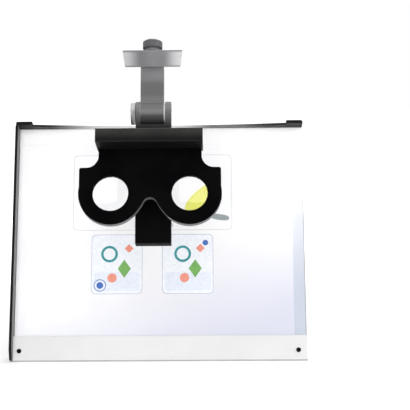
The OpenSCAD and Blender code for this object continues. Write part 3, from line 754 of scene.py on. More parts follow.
@dataclass(frozen=True)
class Metal(Finish):
    """Bare or plated metal.

    Args:
        colour: Its colour.
        rough: Roughness of its smoothest places.
        making: How the surface was made.
        along: For drawn metal, the unit vector of its lines. For turned metal, the turning axis.
        centre: For turned metal, a point of its axis.
        spread: How much rougher its roughest places are.
        painted_lights: Painted light and shade, as changes to other colours; the knob's is painted
            shade.
    """

    colour: Triple
    rough: float
    making: Making
    along: Triple = RIGHT
    centre: Triple = (0.0, 0.0, 0.0)
    spread: float = 0.12
    painted_lights: tuple[Fade, ...] = ()

    # Smears to the metre, and the size of a patch in smears.
    SMEARS, CALM = 1500.0, 25.0
    # Drawn lines to the metre across and along their run, and turned rings to the metre.
    ACROSS, LENGTHWISE, TURNS = 6000.0, 150.0, 3500.0
    # Height of the marks, and the share of the colour that the dull patches keep.
    HEIGHT, DULL = 0.000006, 0.8

    def inputs(self, write: Tree, place: Socket) -> dict:
        """Lets roughness and bump follow the marks of the metal's making.

        Args:
            write: Writer of the material's tree.
            place: Socket of Object coordinates.

        Returns:
            The shader's inputs.
        """
        smear = write.group(GRAIN, {"Vector": place, "Scale": self.SMEARS, "Spread": self.CALM})
        patches = smear.outputs["Patches"]
        if self.making is Making.DRAWN:
            pull = tuple(self.ACROSS - (self.ACROSS - self.LENGTHWISE) * abs(a)
                         for a in self.along)
            marks = write.group(LINES, {"Vector": place, "Stretch": pull}).outputs["Lines"]
        elif self.making is Making.TURNED:
            marks = write.group(RINGS, {"Vector": place, "Centre": self.centre, "Axis": self.along,
                                        "Scale": self.TURNS}).outputs["Rings"]
        else:
            marks = smear.outputs["Grain"]
        dull = tuple(c * self.DULL for c in self.colour)
        colour = write.mix(patches, (*self.colour, 1), (*dull, 1))
        return {"Base Color": self.shaded(write, place, colour, self.painted_lights), "Metallic": 1.0,
                **self.relief(write, marks, patches, self.rough, self.spread, self.HEIGHT)}


@dataclass(frozen=True)
class LensGlass(Finish):
    """Clear polished glass with faint smears.

    Args:
        index: Refractive index.
        smear: Roughness of the smears.
    """

    index: float = 1.5
    smear: float = 0.012

    # Wiping marks to the metre, and the size of a patch in marks.
    WIPES, CALM = 400.0, 6.0

    def inputs(self, write: Tree, place: Socket) -> dict:
        """Lets the roughness vary slightly with wiping marks.

        Args:
            write: Writer of the material's tree.
            place: Socket of Object coordinates.

        Returns:
            The shader's inputs.
        """
        wiped = write.group(GRAIN, {"Vector": place, "Scale": self.WIPES, "Spread": self.CALM})
        rough = write.span(wiped.outputs["Patches"], 0.0, 1.0, 0.0, self.smear)
        return {"Base Color": (1, 1, 1, 1), "Roughness": rough, "IOR": self.index,
                "Transmission Weight": 1.0}


def ink(name: str, red: float, green: float, blue: float) -> Coating:
    """Makes the finish of one printed colour, with the faint mottle of print on card.

    Args:
        name: Name of the material.
        red, green, blue: Parts of the screen colour, 0 to 255.

    Returns:
        The finish.
    """
    factor, lift = 1.06, 0.01
    colour = srgb(red, green, blue)
    mottle = tuple(min(c * factor + lift, 1.0) for c in colour)
    return Coating(name, colour, mottle, rough=0.5, gloss=0.3, spread=0.1, scale=4000, calm=12,
                   height=0.000004)


BLACK_BOARD = Coating(
    "black_lacquer", srgb(20, 20, 21), srgb(26, 26, 27), rough=0.38, gloss=0.4, spread=0.14,
    scale=900, calm=40, height=0.00003, wear_and_highlight=0.3, worn_and_highlit=srgb(120, 112, 100),
    stretch=(0.25, 1.0, 1.0))
# Painted light and shade: bluish grey painted shade towards the foot, kept only on the strip right
# of x 0.125 to 0.14 m and painted near-white further left; a grey line of painted shade on the
# right edge; painted white light above u 150 to 205 mm.
WHITE_FACE = Coating(
    "white_laminate", srgb(252, 252, 253), srgb(249, 249, 251), rough=0.42, gloss=0.4, spread=0.1,
    scale=1800, calm=80, height=0.00001, wear_and_highlight=0.2, worn_and_highlit=srgb(214, 214, 212), painted_lights=(
        board_painted_light(235, 60, srgb(194, 201, 214)),
        Fade(RIGHT, 0.140, 0.125, srgb(250, 250, 252)),
        Fade(RIGHT, 0.1552, 0.1558, srgb(158, 160, 164)),
        board_painted_light(150, 205, srgb(255, 255, 255))))
# Painted light: the grey on its edges that look down is painted bounce light from below.
MOULDED_BLACK = Coating(
    "moulded_black", srgb(3, 3, 4), srgb(6, 6, 7), rough=0.5, gloss=0.03, scale=2600, calm=70,
    height=0.000025, wear_and_highlight=0.25, worn_and_highlit=srgb(32, 32, 34), cut=srgb(136, 136, 138))
CLIP_BLACK = Coating(
    "clip_black", srgb(9, 9, 10), srgb(13, 13, 14), rough=0.46, gloss=0.2, wear_and_highlight=0.25,
    worn_and_highlit=srgb(60, 60, 62))
# Painted light: right of x -0.1535 m, its inner face is painted grey as if lit.
CHEEK_BLACK = Coating(
    "cheek_black", srgb(8, 8, 9), srgb(12, 12, 13), rough=0.42, gloss=0.2, scale=2200, wear_and_highlight=0.3,
    worn_and_highlit=srgb(70, 70, 72), painted_lights=(Fade(RIGHT, -0.1537, -0.1535, srgb(122, 122, 122)),))
# Painted highlight: the white on its rounded corners stands for light along the ledge's edges.
LEDGE_WHITE = Coating(
    "ledge_enamel", srgb(224, 224, 224), srgb(220, 220, 220), rough=0.35, gloss=0.5, spread=0.1,
    scale=1500, calm=70, height=0.000012, wear_and_highlight=0.6, worn_and_highlit=srgb(255, 255, 255), coat=0.3)
# Painted light: the dark lip is painted near-white across its middle, then grey and dark again
# towards its right end.
LIP_GREY = Coating(
    "lip_grey", srgb(22, 22, 23), srgb(28, 28, 29), rough=0.4, gloss=0.3, scale=2200, wear_and_highlight=0.2,
    worn_and_highlit=srgb(110, 110, 110), painted_lights=(
        Fade(RIGHT, -0.125, -0.05, srgb(222, 222, 223)),
        Fade(RIGHT, 0.015, 0.06, srgb(118, 118, 118)),
        Fade(RIGHT, 0.07, 0.125, srgb(30, 30, 31))))
# Painted shade: the card turns lavender grey towards its lower right, where less light falls.
CARD = Coating(
    "stiff_card", srgb(252, 252, 253), srgb(249, 249, 251), rough=0.6, gloss=0.3, spread=0.1,
    scale=3000, calm=90, height=0.000015, wear_and_highlight=0.3, worn_and_highlit=srgb(225, 224, 220), painted_lights=(
        Fade((0.35, -0.25, -0.9), -0.12, 0.02, srgb(212, 213, 227)),))
NYLON = Coating(
    "white_nylon", srgb(235, 235, 233), srgb(228, 228, 225), rough=0.4, gloss=0.4, spread=0.1,
    scale=2000, calm=50, height=0.00001)
RUBBER = Coating(
    "grey_rubber", srgb(70, 70, 72), srgb(60, 60, 62), rough=0.8, gloss=0.25, scale=1800,
    calm=40, height=0.00005, wear_and_highlight=0.4, worn_and_highlit=srgb(96, 95, 92))
POWDER_GREY = Coating(
    "grey_powder_coat", srgb(142, 143, 145), srgb(134, 135, 137), rough=0.42, gloss=0.35,
    spread=0.14, scale=1500, height=0.00004, wear_and_highlight=0.3, worn_and_highlit=srgb(176, 176, 177))
STRIP_GREY = Coating(
    "foot_strip_grey", srgb(176, 176, 177), srgb(168, 168, 169), rough=0.6, gloss=0.3,
    scale=1800, calm=40, wear_and_highlight=0.2, worn_and_highlit=srgb(140, 140, 140))
# Painted reflection: both ends of the half-round front are painted light grey, held back to mid
# grey along its top and its foot.
HEAD_GREY = Coating(
    "crosshead_grey", srgb(109, 109, 111), srgb(116, 116, 118), rough=0.34, gloss=0.4,
    spread=0.1, height=0.000012, coat=0.2, painted_lights=(
        Fade(RIGHT, 0.010, 0.0295, srgb(200, 200, 202)),
        Fade(RIGHT, -0.010, -0.0295, srgb(206, 206, 208)),
        Fade(UPRIGHT, 0.3203, 0.3230, srgb(116, 116, 118)),
        Fade(UPRIGHT, 0.3092, 0.3072, srgb(116, 116, 118))))
CAP_GREY = Coating(
    "cap_grey", srgb(84, 84, 86), srgb(90, 90, 92), rough=0.36, gloss=0.3, spread=0.1, calm=50,
    height=0.00001, coat=0.1)
# Painted light and shade along the height: lighter at the top against the shadow under the
# crosshead, then grey bands, darkening to near black at the foot.
STALK_GREY = Coating(
    "stalk_grey", srgb(113, 113, 115), srgb(119, 119, 121), rough=0.4, gloss=0.4, spread=0.1,
    height=0.000015, wear_and_highlight=0.2, worn_and_highlit=srgb(170, 170, 172), painted_lights=(
        Fade(UPRIGHT, 0.3030, 0.3060, srgb(142, 142, 144)),
        Fade(UPRIGHT, 0.2975, 0.2895, srgb(94, 94, 95)),
        Fade(UPRIGHT, 0.2815, 0.2765, srgb(106, 106, 107)),
        Fade(UPRIGHT, 0.2685, 0.2660, srgb(116, 116, 117)),
        Fade(UPRIGHT, 0.2650, 0.2600, srgb(72, 72, 72)),
        Fade(UPRIGHT, 0.2600, 0.2400, srgb(34, 34, 35))))
# Painted light: the black fork is painted mid grey in its upper part, shading to black below u 200
# mm, with a darker grey band above u 233 mm.
FORK_BLACK = Coating(
    "fork_black", srgb(142, 142, 144), srgb(148, 148, 150), rough=0.45, gloss=0.03, wear_and_highlight=0.2,
    worn_and_highlit=srgb(150, 150, 152), painted_lights=(
        board_painted_light(238, 200, srgb(8, 8, 9)),
        board_painted_light(232.0, 233.3, srgb(84, 84, 85))))
# Painted shade: below u 187 to 177 mm the dark grey brow rest turns near black.
BROW_BLACK = Coating(
    "brow_black", srgb(36, 36, 35), srgb(44, 44, 42), rough=0.42, gloss=0.2, wear_and_highlight=0.25,
    worn_and_highlit=srgb(70, 70, 70), painted_lights=(board_painted_light(187, 177, srgb(6, 6, 7)),))
KNOB_BLACK = Coating(
    "knob_black", srgb(24, 24, 25), srgb(30, 30, 31), rough=0.36, gloss=0.4, scale=2000, calm=50,
    height=0.000015, wear_and_highlight=0.3, worn_and_highlit=srgb(90, 90, 90))
SCREW_STEEL = Metal("plated_steel", srgb(196, 197, 198), rough=0.24, making=Making.PLATED)
SCREW_BLACK = Metal("blackened_steel", srgb(44, 44, 45), rough=0.34, making=Making.PLATED)
RAIL_STEEL = Metal("drawn_steel", srgb(152, 153, 156), rough=0.3, making=Making.DRAWN,
                   along=INTO_BOARD, spread=0.08)
HINGE_STEEL = Metal("hinge_steel", srgb(164, 165, 168), rough=0.3, making=Making.DRAWN)
GLASS = LensGlass("polished_glass")


# The parts of the object


@dataclass(frozen=True)
class Solid:
    """One solid of the model that is softened and dressed.

    Args:
        node: Its name in the model.
        name: Name of the piece.
        finish: Its finish.
        width: Width of its rounded corners in mm.
        corner: Angle in degrees from which a corner is rounded.
        steps: Facets across a round.
        lift: Heights along the board between which points are raised, and how far, in mm.
    """

    node: str
    name: str
    finish: Finish
    width: float
    corner: float = 28
    steps: int = 2
    lift: Triple = (0.0, 0.0, 0.0)

    def build(self) -> bpy.types.Object:
        """Builds and dresses the piece.

        Returns:
            The piece.
        """
        piece = softened(self.name, self.node, self.width * MM, self.corner, self.steps,
                         tuple(part * MM for part in self.lift))
        dress(piece, self.finish.material())
        return piece


class Recess(Enum):
    """The shape that a driver goes into."""

    CROSS = "cross"
    HEX = "hexagon"


@dataclass(frozen=True)
class Screws:
    """A set of screws, each with a shank, a rounded head and a recess in it.

    Their places and sizes are read from the plain solids of the model, and their direction is
    given.

    Args:
        node: Name of the solids in the model.
        name: Name of the piece.
        axis: Direction that the heads look along, as (x, v, u).
        recess: Shape of the recess.
        finish: The finish.
        turn: Angle of each recess after the one before it, in degrees.
    """

    node: str
    name: str
    axis: Triple
    recess: Recess
    finish: Metal
    turn: float = 37.0

    # Points round the axis, rings on the domed top, and the share of its radius where they start.
    AROUND, RINGS, FIRST = 48, 15, 0.04
    # As shares of the head's height: fall of the dome, depth of the recess, and the greatest round
    # of the rim.
    DOME, DEPTH, ROUND_HIGH = 0.12, 0.55, 0.45
    # As shares of the head's radius: the greatest round of the rim, half the width and the reach of
    # a cross's bars, half a hexagon's width over its flats, and the slope of a recess's walls.
    ROUND_WIDE, BAR, REACH, FLATS, WALL = 0.3, 0.16, 0.58, 0.46, 0.08
    # The plain screw's shank is measured in this share of its height, and its head past this share
    # of its radius.
    NEAR_FOOT, NEAR_RIM = 0.05, 0.98

    def build(self) -> None:
        """Builds all the screws of the set as one piece, and dresses it."""
        skins = [self.one(points, number) for number, points in enumerate(islands(self.node))]
        stand_in(self.name, self.node, skins, crease=35, finish=self.finish)

    def one(self, points: np.ndarray, number: int) -> Skin:
        """Builds one screw on the place of a plain one.

        The rings of the top lie on a dome, less the depth of the recess. A quarter round leads to
        the side, and below the seat the shank runs down to its end, where it narrows.

        Args:
            points: Vertices of the plain screw as (x, v, u) in metres.
            number: Its place in the set.

        Returns:
            Vertices and faces.
        """
        axis = np.array(self.axis)
        side = np.array([1.0, 0, 0]) if abs(axis[0]) < 0.5 else np.array([0, 1.0, 0])
        across = np.cross(axis, side)
        height = points @ axis
        top, foot = height.max(), height.min()
        middle = np.array([(points @ side).max() + (points @ side).min(),
                           (points @ across).max() + (points @ across).min()]) / 2
        radius = np.hypot(points @ side - middle[0], points @ across - middle[1])
        wide = radius.max()
        thin = radius[height < foot + (top - foot) * self.NEAR_FOOT].max()
        head = top - height[radius > wide * self.NEAR_RIM].min()
        curve = min(head * self.ROUND_HIGH, wide * self.ROUND_WIDE)
        inner = np.linspace(self.FIRST, 1.0, self.RINGS) * (wide - curve)
        quarter = np.linspace(0, math.pi / 2, 5)[1:]
        fall = head * self.DOME
        r = np.concatenate([inner, wide - curve + curve * np.sin(quarter),
                            [wide, thin, thin, thin / 2]])
        h = np.concatenate([-fall * (inner / wide) ** 2, -fall - curve * (1 - np.cos(quarter)),
                            [-head, -head, foot - top + thin / 2, foot - top]])
        angle = np.linspace(0, 2 * math.pi, self.AROUND, endpoint=False)
        x, y = np.outer(r, np.cos(angle)), np.outer(r, np.sin(angle))
        depth = np.zeros_like(x)
        rows = self.RINGS - 1
        depth[:rows] = self.recess_at(x[:rows] / wide, y[:rows] / wide, number) * head * self.DEPTH
        along = top + h[:, None] - depth
        return on_board((middle[0] + x)[..., None] * side + (middle[1] + y)[..., None] * across
                        + along[..., None] * axis)

    def recess_at(self, x: np.ndarray, y: np.ndarray, number: int) -> np.ndarray:
        """Depth of the recess from 0 to 1 over the top of a head.

        A cross is two crossed bars, and a hexagon the places whose greatest distance along three
        directions is under its half width. The walls slope over a short way.

        Args:
            x, y: Places on the top, from its middle, as shares of the head's radius.
            number: The screw's place in the set, which turns its recess.

        Returns:
            The depth at each place.
        """
        turn = math.radians(self.turn * number)
        p = abs(x * math.cos(turn) + y * math.sin(turn))
        q = abs(y * math.cos(turn) - x * math.sin(turn))
        if self.recess is Recess.CROSS:
            inside = np.maximum(np.minimum(self.BAR - p, self.REACH - q),
                                np.minimum(self.BAR - q, self.REACH - p))
        else:
            cos_30 = 0.866
            inside = self.FLATS - np.maximum(p, p / 2 + q * cos_30)
        return np.clip(inside / self.WALL + 0.5, 0, 1)


def islands(node: str) -> list[np.ndarray]:
    """Separates the solids of one node of the model.

    Vertices in the same place, to the nearest micrometre, are one. Each takes the lowest label
    among those that it shares a face with, until no label changes.

    Args:
        node: Name of the node.

    Returns:
        The vertices of each solid as (x, v, u) in metres.
    """
    mesh = frame["nodes"][node].data
    points = threes(mesh.vertices, "co")
    _, same = np.unique(np.round(points, 6), axis=0, return_inverse=True)
    same = same.reshape(-1)
    faces = same[threes(mesh.polygons, "vertices", np.int64)]
    label = np.arange(same.max() + 1)
    while True:
        new = label.copy()
        for k in range(3):
            np.minimum.at(new, faces[:, k], label[faces].min(1))
        new = new[new]
        if (new == label).all():
            break
        label = new
    board = AXES.read(points)
    return [board[label[same] == value] for value in np.unique(label)]


@dataclass
class SubAssembly:
    """Pieces that belong together.

    Args:
        solids: Its softened solids.
        screws: Its sets of screws.
    """

    solids: tuple[Solid, ...] = ()
    screws: tuple[Screws, ...] = ()

    def build(self) -> None:
        """Builds and dresses the solids and the screws."""
        for part in (*self.solids, *self.screws):
            part.build()


@dataclass
class Board(SubAssembly):
    """The leaning board: back, white face, cheek, clips, lip and ledge."""

    solids: tuple[Solid, ...] = (
        Solid("back_board", "board_back", BLACK_BOARD, width=0.8),
        Solid("face_board", "board_face", WHITE_FACE, width=0.3),
        Solid("side_stop", "left_cheek", CHEEK_BLACK, width=0.6),
        Solid("top_lip", "upper_lip", LIP_GREY, width=0.4),
        Solid("corner_clip_left", "left_clip", CLIP_BLACK, width=0.3, lift=(256.5, 270, 1.4)),
        Solid("corner_clip_right", "right_clip", CLIP_BLACK, width=0.3, lift=(256.5, 270, 0.9)),
        Solid("ledge", "sheet_ledge", LEDGE_WHITE, width=0.7, steps=3),
        Solid("base_strip", "foot_strip", STRIP_GREY, width=0.2),
    )
    screws: tuple[Screws, ...] = (
        Screws("ledge_screws", "ledge_screw_pair", (0, -1, 0), Recess.HEX, SCREW_BLACK),
        Screws("clip_screws", "clip_screw_pair", (0, 1, 0), Recess.CROSS, SCREW_BLACK),
    )


@dataclass
class PropLeg(SubAssembly):
    """The folding leg behind the board, with its hinge and shoe."""

    solids: tuple[Solid, ...] = (
        Solid("prop_leg", "leg_board", BLACK_BOARD, width=0.8),
        Solid("leg_foot", "leg_shoe", RUBBER, width=0.6),
        Solid("leg_hinge_bracket", "leg_hinge_plates", HINGE_STEEL, width=0.25),
        Solid("leg_hinge_pin", "leg_hinge_rod", SCREW_STEEL, width=0.3),
    )


@dataclass
class RailCarriage(SubAssembly):
    """The clamp block, the rail and its screws."""

    solids: tuple[Solid, ...] = (
        Solid("rail_bracket", "clamp_block", POWDER_GREY, width=0.5),
        Solid("rail_clamp_knob", "clamp_thumb_screw", KNOB_BLACK, width=0.25, corner=35),
        Solid("rail", "flat_rail", RAIL_STEEL, width=0.35),
    )
    screws: tuple[Screws, ...] = (
        Screws("bracket_screws", "bracket_screw_set", (0, 1, 0), Recess.CROSS, SCREW_STEEL),
        Screws("rail_stop_screw", "stop_screw", (0, 0, 1), Recess.HEX, SCREW_BLACK),
    )


@dataclass
class Swivel(SubAssembly):
    """The half-round crosshead, the stalk that hangs in it, and its cap.

    The crosshead stands upright round the leaning swivel axis, so it has a seat square to that
    axis under the stalk's shoulder and another under the washer.

    Args:
        axis_v: Place of the swivel axis in mm from the board's face.
        seat_u, top_u: Heights of the lower and upper seats along the board, in mm.
        seat_r, top_r: Their radii in mm.
        hub_r: Radius of the hub that carries the lower seat where it lies under the block, in mm.
        bore_r: Radius of the bore in mm.
        foot_z, head_z: Heights of the crosshead's underside and top over the table, in mm.
        front_y, back_y: Places of its front and its back in mm.
        front_r: Radius of its rounded front in mm.
        rear_r: Radius of its two rear corners in mm.
        foot_half, head_half: Half of its width at its underside and at its top, in mm.
        edge: Width of its rounded edges in mm.
        boss: Lowest and highest corner of the boss for the rail as (x, v, u), in mm.
        boss_r: Radius of the boss's long edges in mm.
        cap: Radius, height of the foot, height of the top and radius of the dome of the cap, in mm.
        cap_round: Radius of its rounded edges in mm.
        cap_bore: Heights of the bore's end and of the washer's top in mm.
        skirt: Radius and foot of the skirt round the washer in mm.
    """

    axis_v: float = -160.0
    seat_u: float = 269.0
    top_u: float = 286.6
    seat_r: float = 13.7
    top_r: float = 8.2
    hub_r: float = 9.5
    bore_r: float = 5.05
    foot_z: float = 307.0
    head_z: float = 323.2
    front_y: float = -72.8
    back_y: float = -46.0
    front_r: float = 36.5
    rear_r: float = 2.0
    foot_half: float = 26.9
    head_half: float = 29.1
    edge: float = 0.7
    boss: tuple[Triple, Triple] = ((-8.0, -154.4, 269.0), (8.0, -138.0, 286.6))
    boss_r: float = 1.2
    cap: tuple[float, float, float, float] = (9.6, 288.2, 298.4, 14.0)
    cap_round: float = 0.6
    cap_bore: tuple[float, float] = (295.8, 289.65)
    skirt: tuple[float, float] = (7.6, 286.95)
    solids: tuple[Solid, ...] = (
        Solid("stalk", "hanging_stalk", STALK_GREY, width=0.6),
        Solid("swivel_washer", "cap_washer", CAP_GREY, width=0.25),
    )
    screws: tuple[Screws, ...] = (
        Screws("crosshead_screw", "head_pin_screw", (0, 0, 1), Recess.CROSS, SCREW_STEEL),
    )

    def build(self) -> None:
        """Builds the swivel."""
        super().build()
        head = [self.crosshead(), self.rail_boss()]
        stand_in("half_round_head", "crosshead", head, crease=50, finish=HEAD_GREY)
        stand_in("domed_cap", "cap_nut", [self.domed_cap()], crease=35, finish=CAP_GREY)

    def plan(self) -> np.ndarray:
        """Draws the crosshead's top from above.

        Its front is an arc of the radius front_r. Two straight sides run back from the arc's ends
        to two rounded corners.

        Returns:
            Points (x, y) of shape (n, 2) in mm, counter-clockwise.
        """
        on_arc, on_corner, on_rear = 97, 9, 41
        reach = math.asin(self.head_half / self.front_r)
        a = np.linspace(-reach, reach, on_arc)
        arc = np.stack([self.front_r * np.sin(a),
                        self.front_y + self.front_r * (1 - np.cos(a))], -1)
        b = np.linspace(0, math.pi / 2, on_corner)
        x, y = self.head_half - self.rear_r, self.back_y - self.rear_r
        right = np.stack([x + self.rear_r * np.cos(b), y + self.rear_r * np.sin(b)], -1)
        left = right[::-1] * (-1, 1)
        across = np.linspace(x, -x, on_rear)[1:-1]
        rear = np.stack([across, np.full_like(across, self.back_y)], -1)
        return np.concatenate([arc, right, rear, left])

    def crosshead(self) -> Skin:
        """Builds the upright block with its two seats and its bore.

        The rings run from the bore over the lower seat to the underside, round the foot's edge, up
        the wall, whose width grows in a straight line, round the top's edge, and over the upper
        seat back to the bore. A ring on a seat lies in the plane square to the swivel axis, at the
        angles under which its outline is seen from the axis.

        Returns:
            Vertices and faces.
        """
        plan = self.plan()
        middle = AXES.place(np.array([[0, self.axis_v, (self.seat_u + self.top_u) / 2]]) * MM)[0]
        angle = np.arctan2(plan[:, 1] - middle[1] / MM, plan[:, 0])

        def seat(radius: float, u: float) -> np.ndarray:
            """Places a ring on a plane square to the swivel axis.

            Args:
                radius: Its radius in mm.
                u: Its height along the board in mm.

            Returns:
                Points in the model's frame, in mm.
            """
            ring = np.stack([radius * np.cos(angle), self.axis_v + radius * np.sin(angle),
                             np.full_like(angle, u)], -1)
            return AXES.place(ring * MM) / MM

        def level(z: float, shrink: float) -> np.ndarray:
            """Places the outline at a height.

            Args:
                z: The height over the table in mm.
                shrink: How far the outline is drawn in, in mm.

            Returns:
                Points in the model's frame, in mm.
            """
            share = (z - self.foot_z) / (self.head_z - self.foot_z)
            half = self.foot_half + (self.head_half - self.foot_half) * share
            flat = inset(plan, shrink) * (half / self.head_half, 1)
            return np.column_stack([flat, np.full(len(flat), z)])

        hub, low = seat(self.hub_r, self.seat_u), seat(self.seat_r, self.seat_u)
        high = seat(self.top_r, self.top_u)
        rise, under, over = hub.copy(), low.copy(), high.copy()
        rise[:, 2] = np.maximum(hub[:, 2], self.foot_z)
        low[:, 2] = np.maximum(low[:, 2], self.foot_z)
        under[:, 2], over[:, 2] = self.foot_z, self.head_z
        wall = [level(z, shrink) for z, shrink in rounded_ends(self.foot_z, self.head_z, self.edge)]
        rings = [seat(self.bore_r, self.seat_u), hub, rise, low, under, *wall, over, high,
                 seat(self.bore_r, self.top_u)]
        return surface(np.stack(rings) * MM, False)

    def rail_boss(self) -> Skin:
        """Builds the boss behind the block that the rail enters.

        Its rings are rounded rectangles in x and u, drawn in at both ends by a quarter round.

        Returns:
            Vertices and faces.
        """
        (x0, v0, u0), (x1, v1, u1) = self.boss
        r, on_corner = self.boss_r, 7
        t = np.linspace(0, math.pi / 2, on_corner)
        turn = np.stack([np.cos(t), np.sin(t)], -1) * r
        quarters = [(x1 - r, u1 - r, 1, 1), (x0 + r, u1 - r, -1, 1),
                    (x0 + r, u0 + r, -1, -1), (x1 - r, u0 + r, 1, -1)]
        outline = np.concatenate([
            np.array([x, u]) + (turn if sx * su > 0 else turn[::-1]) * (sx, su)
            for x, u, sx, su in quarters])
        rings = [at_depth(inset(outline, shrink), v)
                 for v, shrink in rounded_ends(v0, v1, self.edge)]
        return on_board(np.stack(rings) * MM)

    def domed_cap(self) -> Skin:
        """Builds the cap, turned about the swivel axis.

        Its profile runs down the bore, out under the skirt, up the drum, and over a dome that is
        part of a ball.

        Returns:
            Vertices and faces.
        """
        radius, foot, top, ball = self.cap
        (bore_end, washer_top), (skirt_r, skirt_foot) = self.cap_bore, self.skirt
        edge = self.cap_round
        bevel, squash = 0.15, 0.9
        on_edge, on_dome, around = 6, 16, 96
        shoulder = top - ball + math.sqrt(ball ** 2 - (radius - edge) ** 2)
        a = np.linspace(0, math.pi / 2, on_edge)
        low = np.stack([radius - edge * (1 - np.sin(a)), foot + edge * (1 - np.cos(a))], -1)
        high = np.stack([radius - edge * (1 - np.cos(a)),
                         shoulder - edge * (1 - np.sin(a)) * squash], -1)
        r = np.linspace(radius - edge, TIP, on_dome)[1:]
        dome = np.stack([r, top - ball + np.sqrt(ball ** 2 - r ** 2)], -1)
        inside = np.array([(TIP, bore_end), (self.bore_r, bore_end), (self.bore_r, washer_top),
                           (skirt_r, washer_top), (skirt_r, skirt_foot),
                           (skirt_r + bevel, skirt_foot)])
        rings = spin(np.concatenate([inside, low, high, dome]), around)
        return on_board((rings + (0.0, self.axis_v, 0.0)) * MM)


@dataclass
class Fork(SubAssembly):
    """The fork and its long bar, with bolt, washers and bright knob.

    Args:
        knob_seat: Middle of the knob's inner face as (x, v, u) in mm.
        knob_r: Radius of the knob in mm.
        knob_t: Its thickness in mm.
        bevel, dish: Width of its bevels and depth of the dish in its outer face, in mm.
        slope: Where the slope into the dish starts and ends, as shares of the radius.
        bore: Radius and depth of its bore in mm.
        flutes: Number and depth in mm of the fine flutes round it.
        rim: Share of the radius outside which the flutes are sunk.
    """

    knob_seat: Triple = (-15.9, -160.0, 222.0)
    knob_r: float = 10.75
    knob_t: float = 4.75
    bevel: float = 0.55
    dish: float = 0.4
    slope: tuple[float, float] = (0.82, 0.78)
    bore: tuple[float, float] = (3.05, 3.55)
    flutes: tuple[int, float] = (60, 0.32)
    rim: float = 0.9
    solids: tuple[Solid, ...] = (
        Solid("backbone", "fork_bar", FORK_BLACK, width=0.6, lift=(85, 92, 2.8)),
        Solid("friction_washers", "fork_washers", NYLON, width=0.12),
        Solid("tilt_bolt", "fork_bolt", SCREW_STEEL, width=0.3),
    )

    def build(self) -> None:
        """Builds the fork, and dresses the knob as turned on its own axis."""
        super().build()
        centre = AXES.place(np.array([self.knob_seat]) * MM)[0]
        # Painted shade: the bright knob darkens towards its outer face and its lower side.
        bright = Metal(
            "turned_aluminium", srgb(248, 248, 249), rough=0.42, making=Making.TURNED,
            centre=tuple(centre.tolist()),
            painted_lights=(Fade((-0.944, 0.0, -0.33), -0.0685, -0.0655, srgb(120, 120, 122)),))
        stand_in("bright_knob", "tilt_knob", [self.knob()], crease=35, finish=bright)

    def knob(self) -> Skin:
        """Builds the fluted knob, turned about the tilt axis.

        Its profile runs down the bore, out along the inner face, over a bevelled rim, and in to a
        shallow dish on the outer face.

        Returns:
            Vertices and faces.
        """
        (hole, deep), (count, fine) = self.bore, self.flutes
        outer, inner = (share * self.knob_r for share in self.slope)
        r, t, points_in_flute = self.knob_r, self.knob_t, 8
        bevel, soft, floor = self.bevel, self.bevel * 0.3, t - self.dish
        profile = np.array([
            (TIP, deep), (hole, deep), (hole, 0), (r - bevel, 0), (r - soft, soft), (r, bevel),
            (r, t - bevel), (r - soft, t - soft), (r - bevel, t), (outer, t), (inner, floor),
            (TIP, floor)])
        rings = spin(profile, count * points_in_flute, count, fine, r * self.rim)
        x, v, u = self.knob_seat
        rings = np.stack([x - rings[..., 2], v + rings[..., 0], u + rings[..., 1]], -1)
        return on_board(rings * MM)


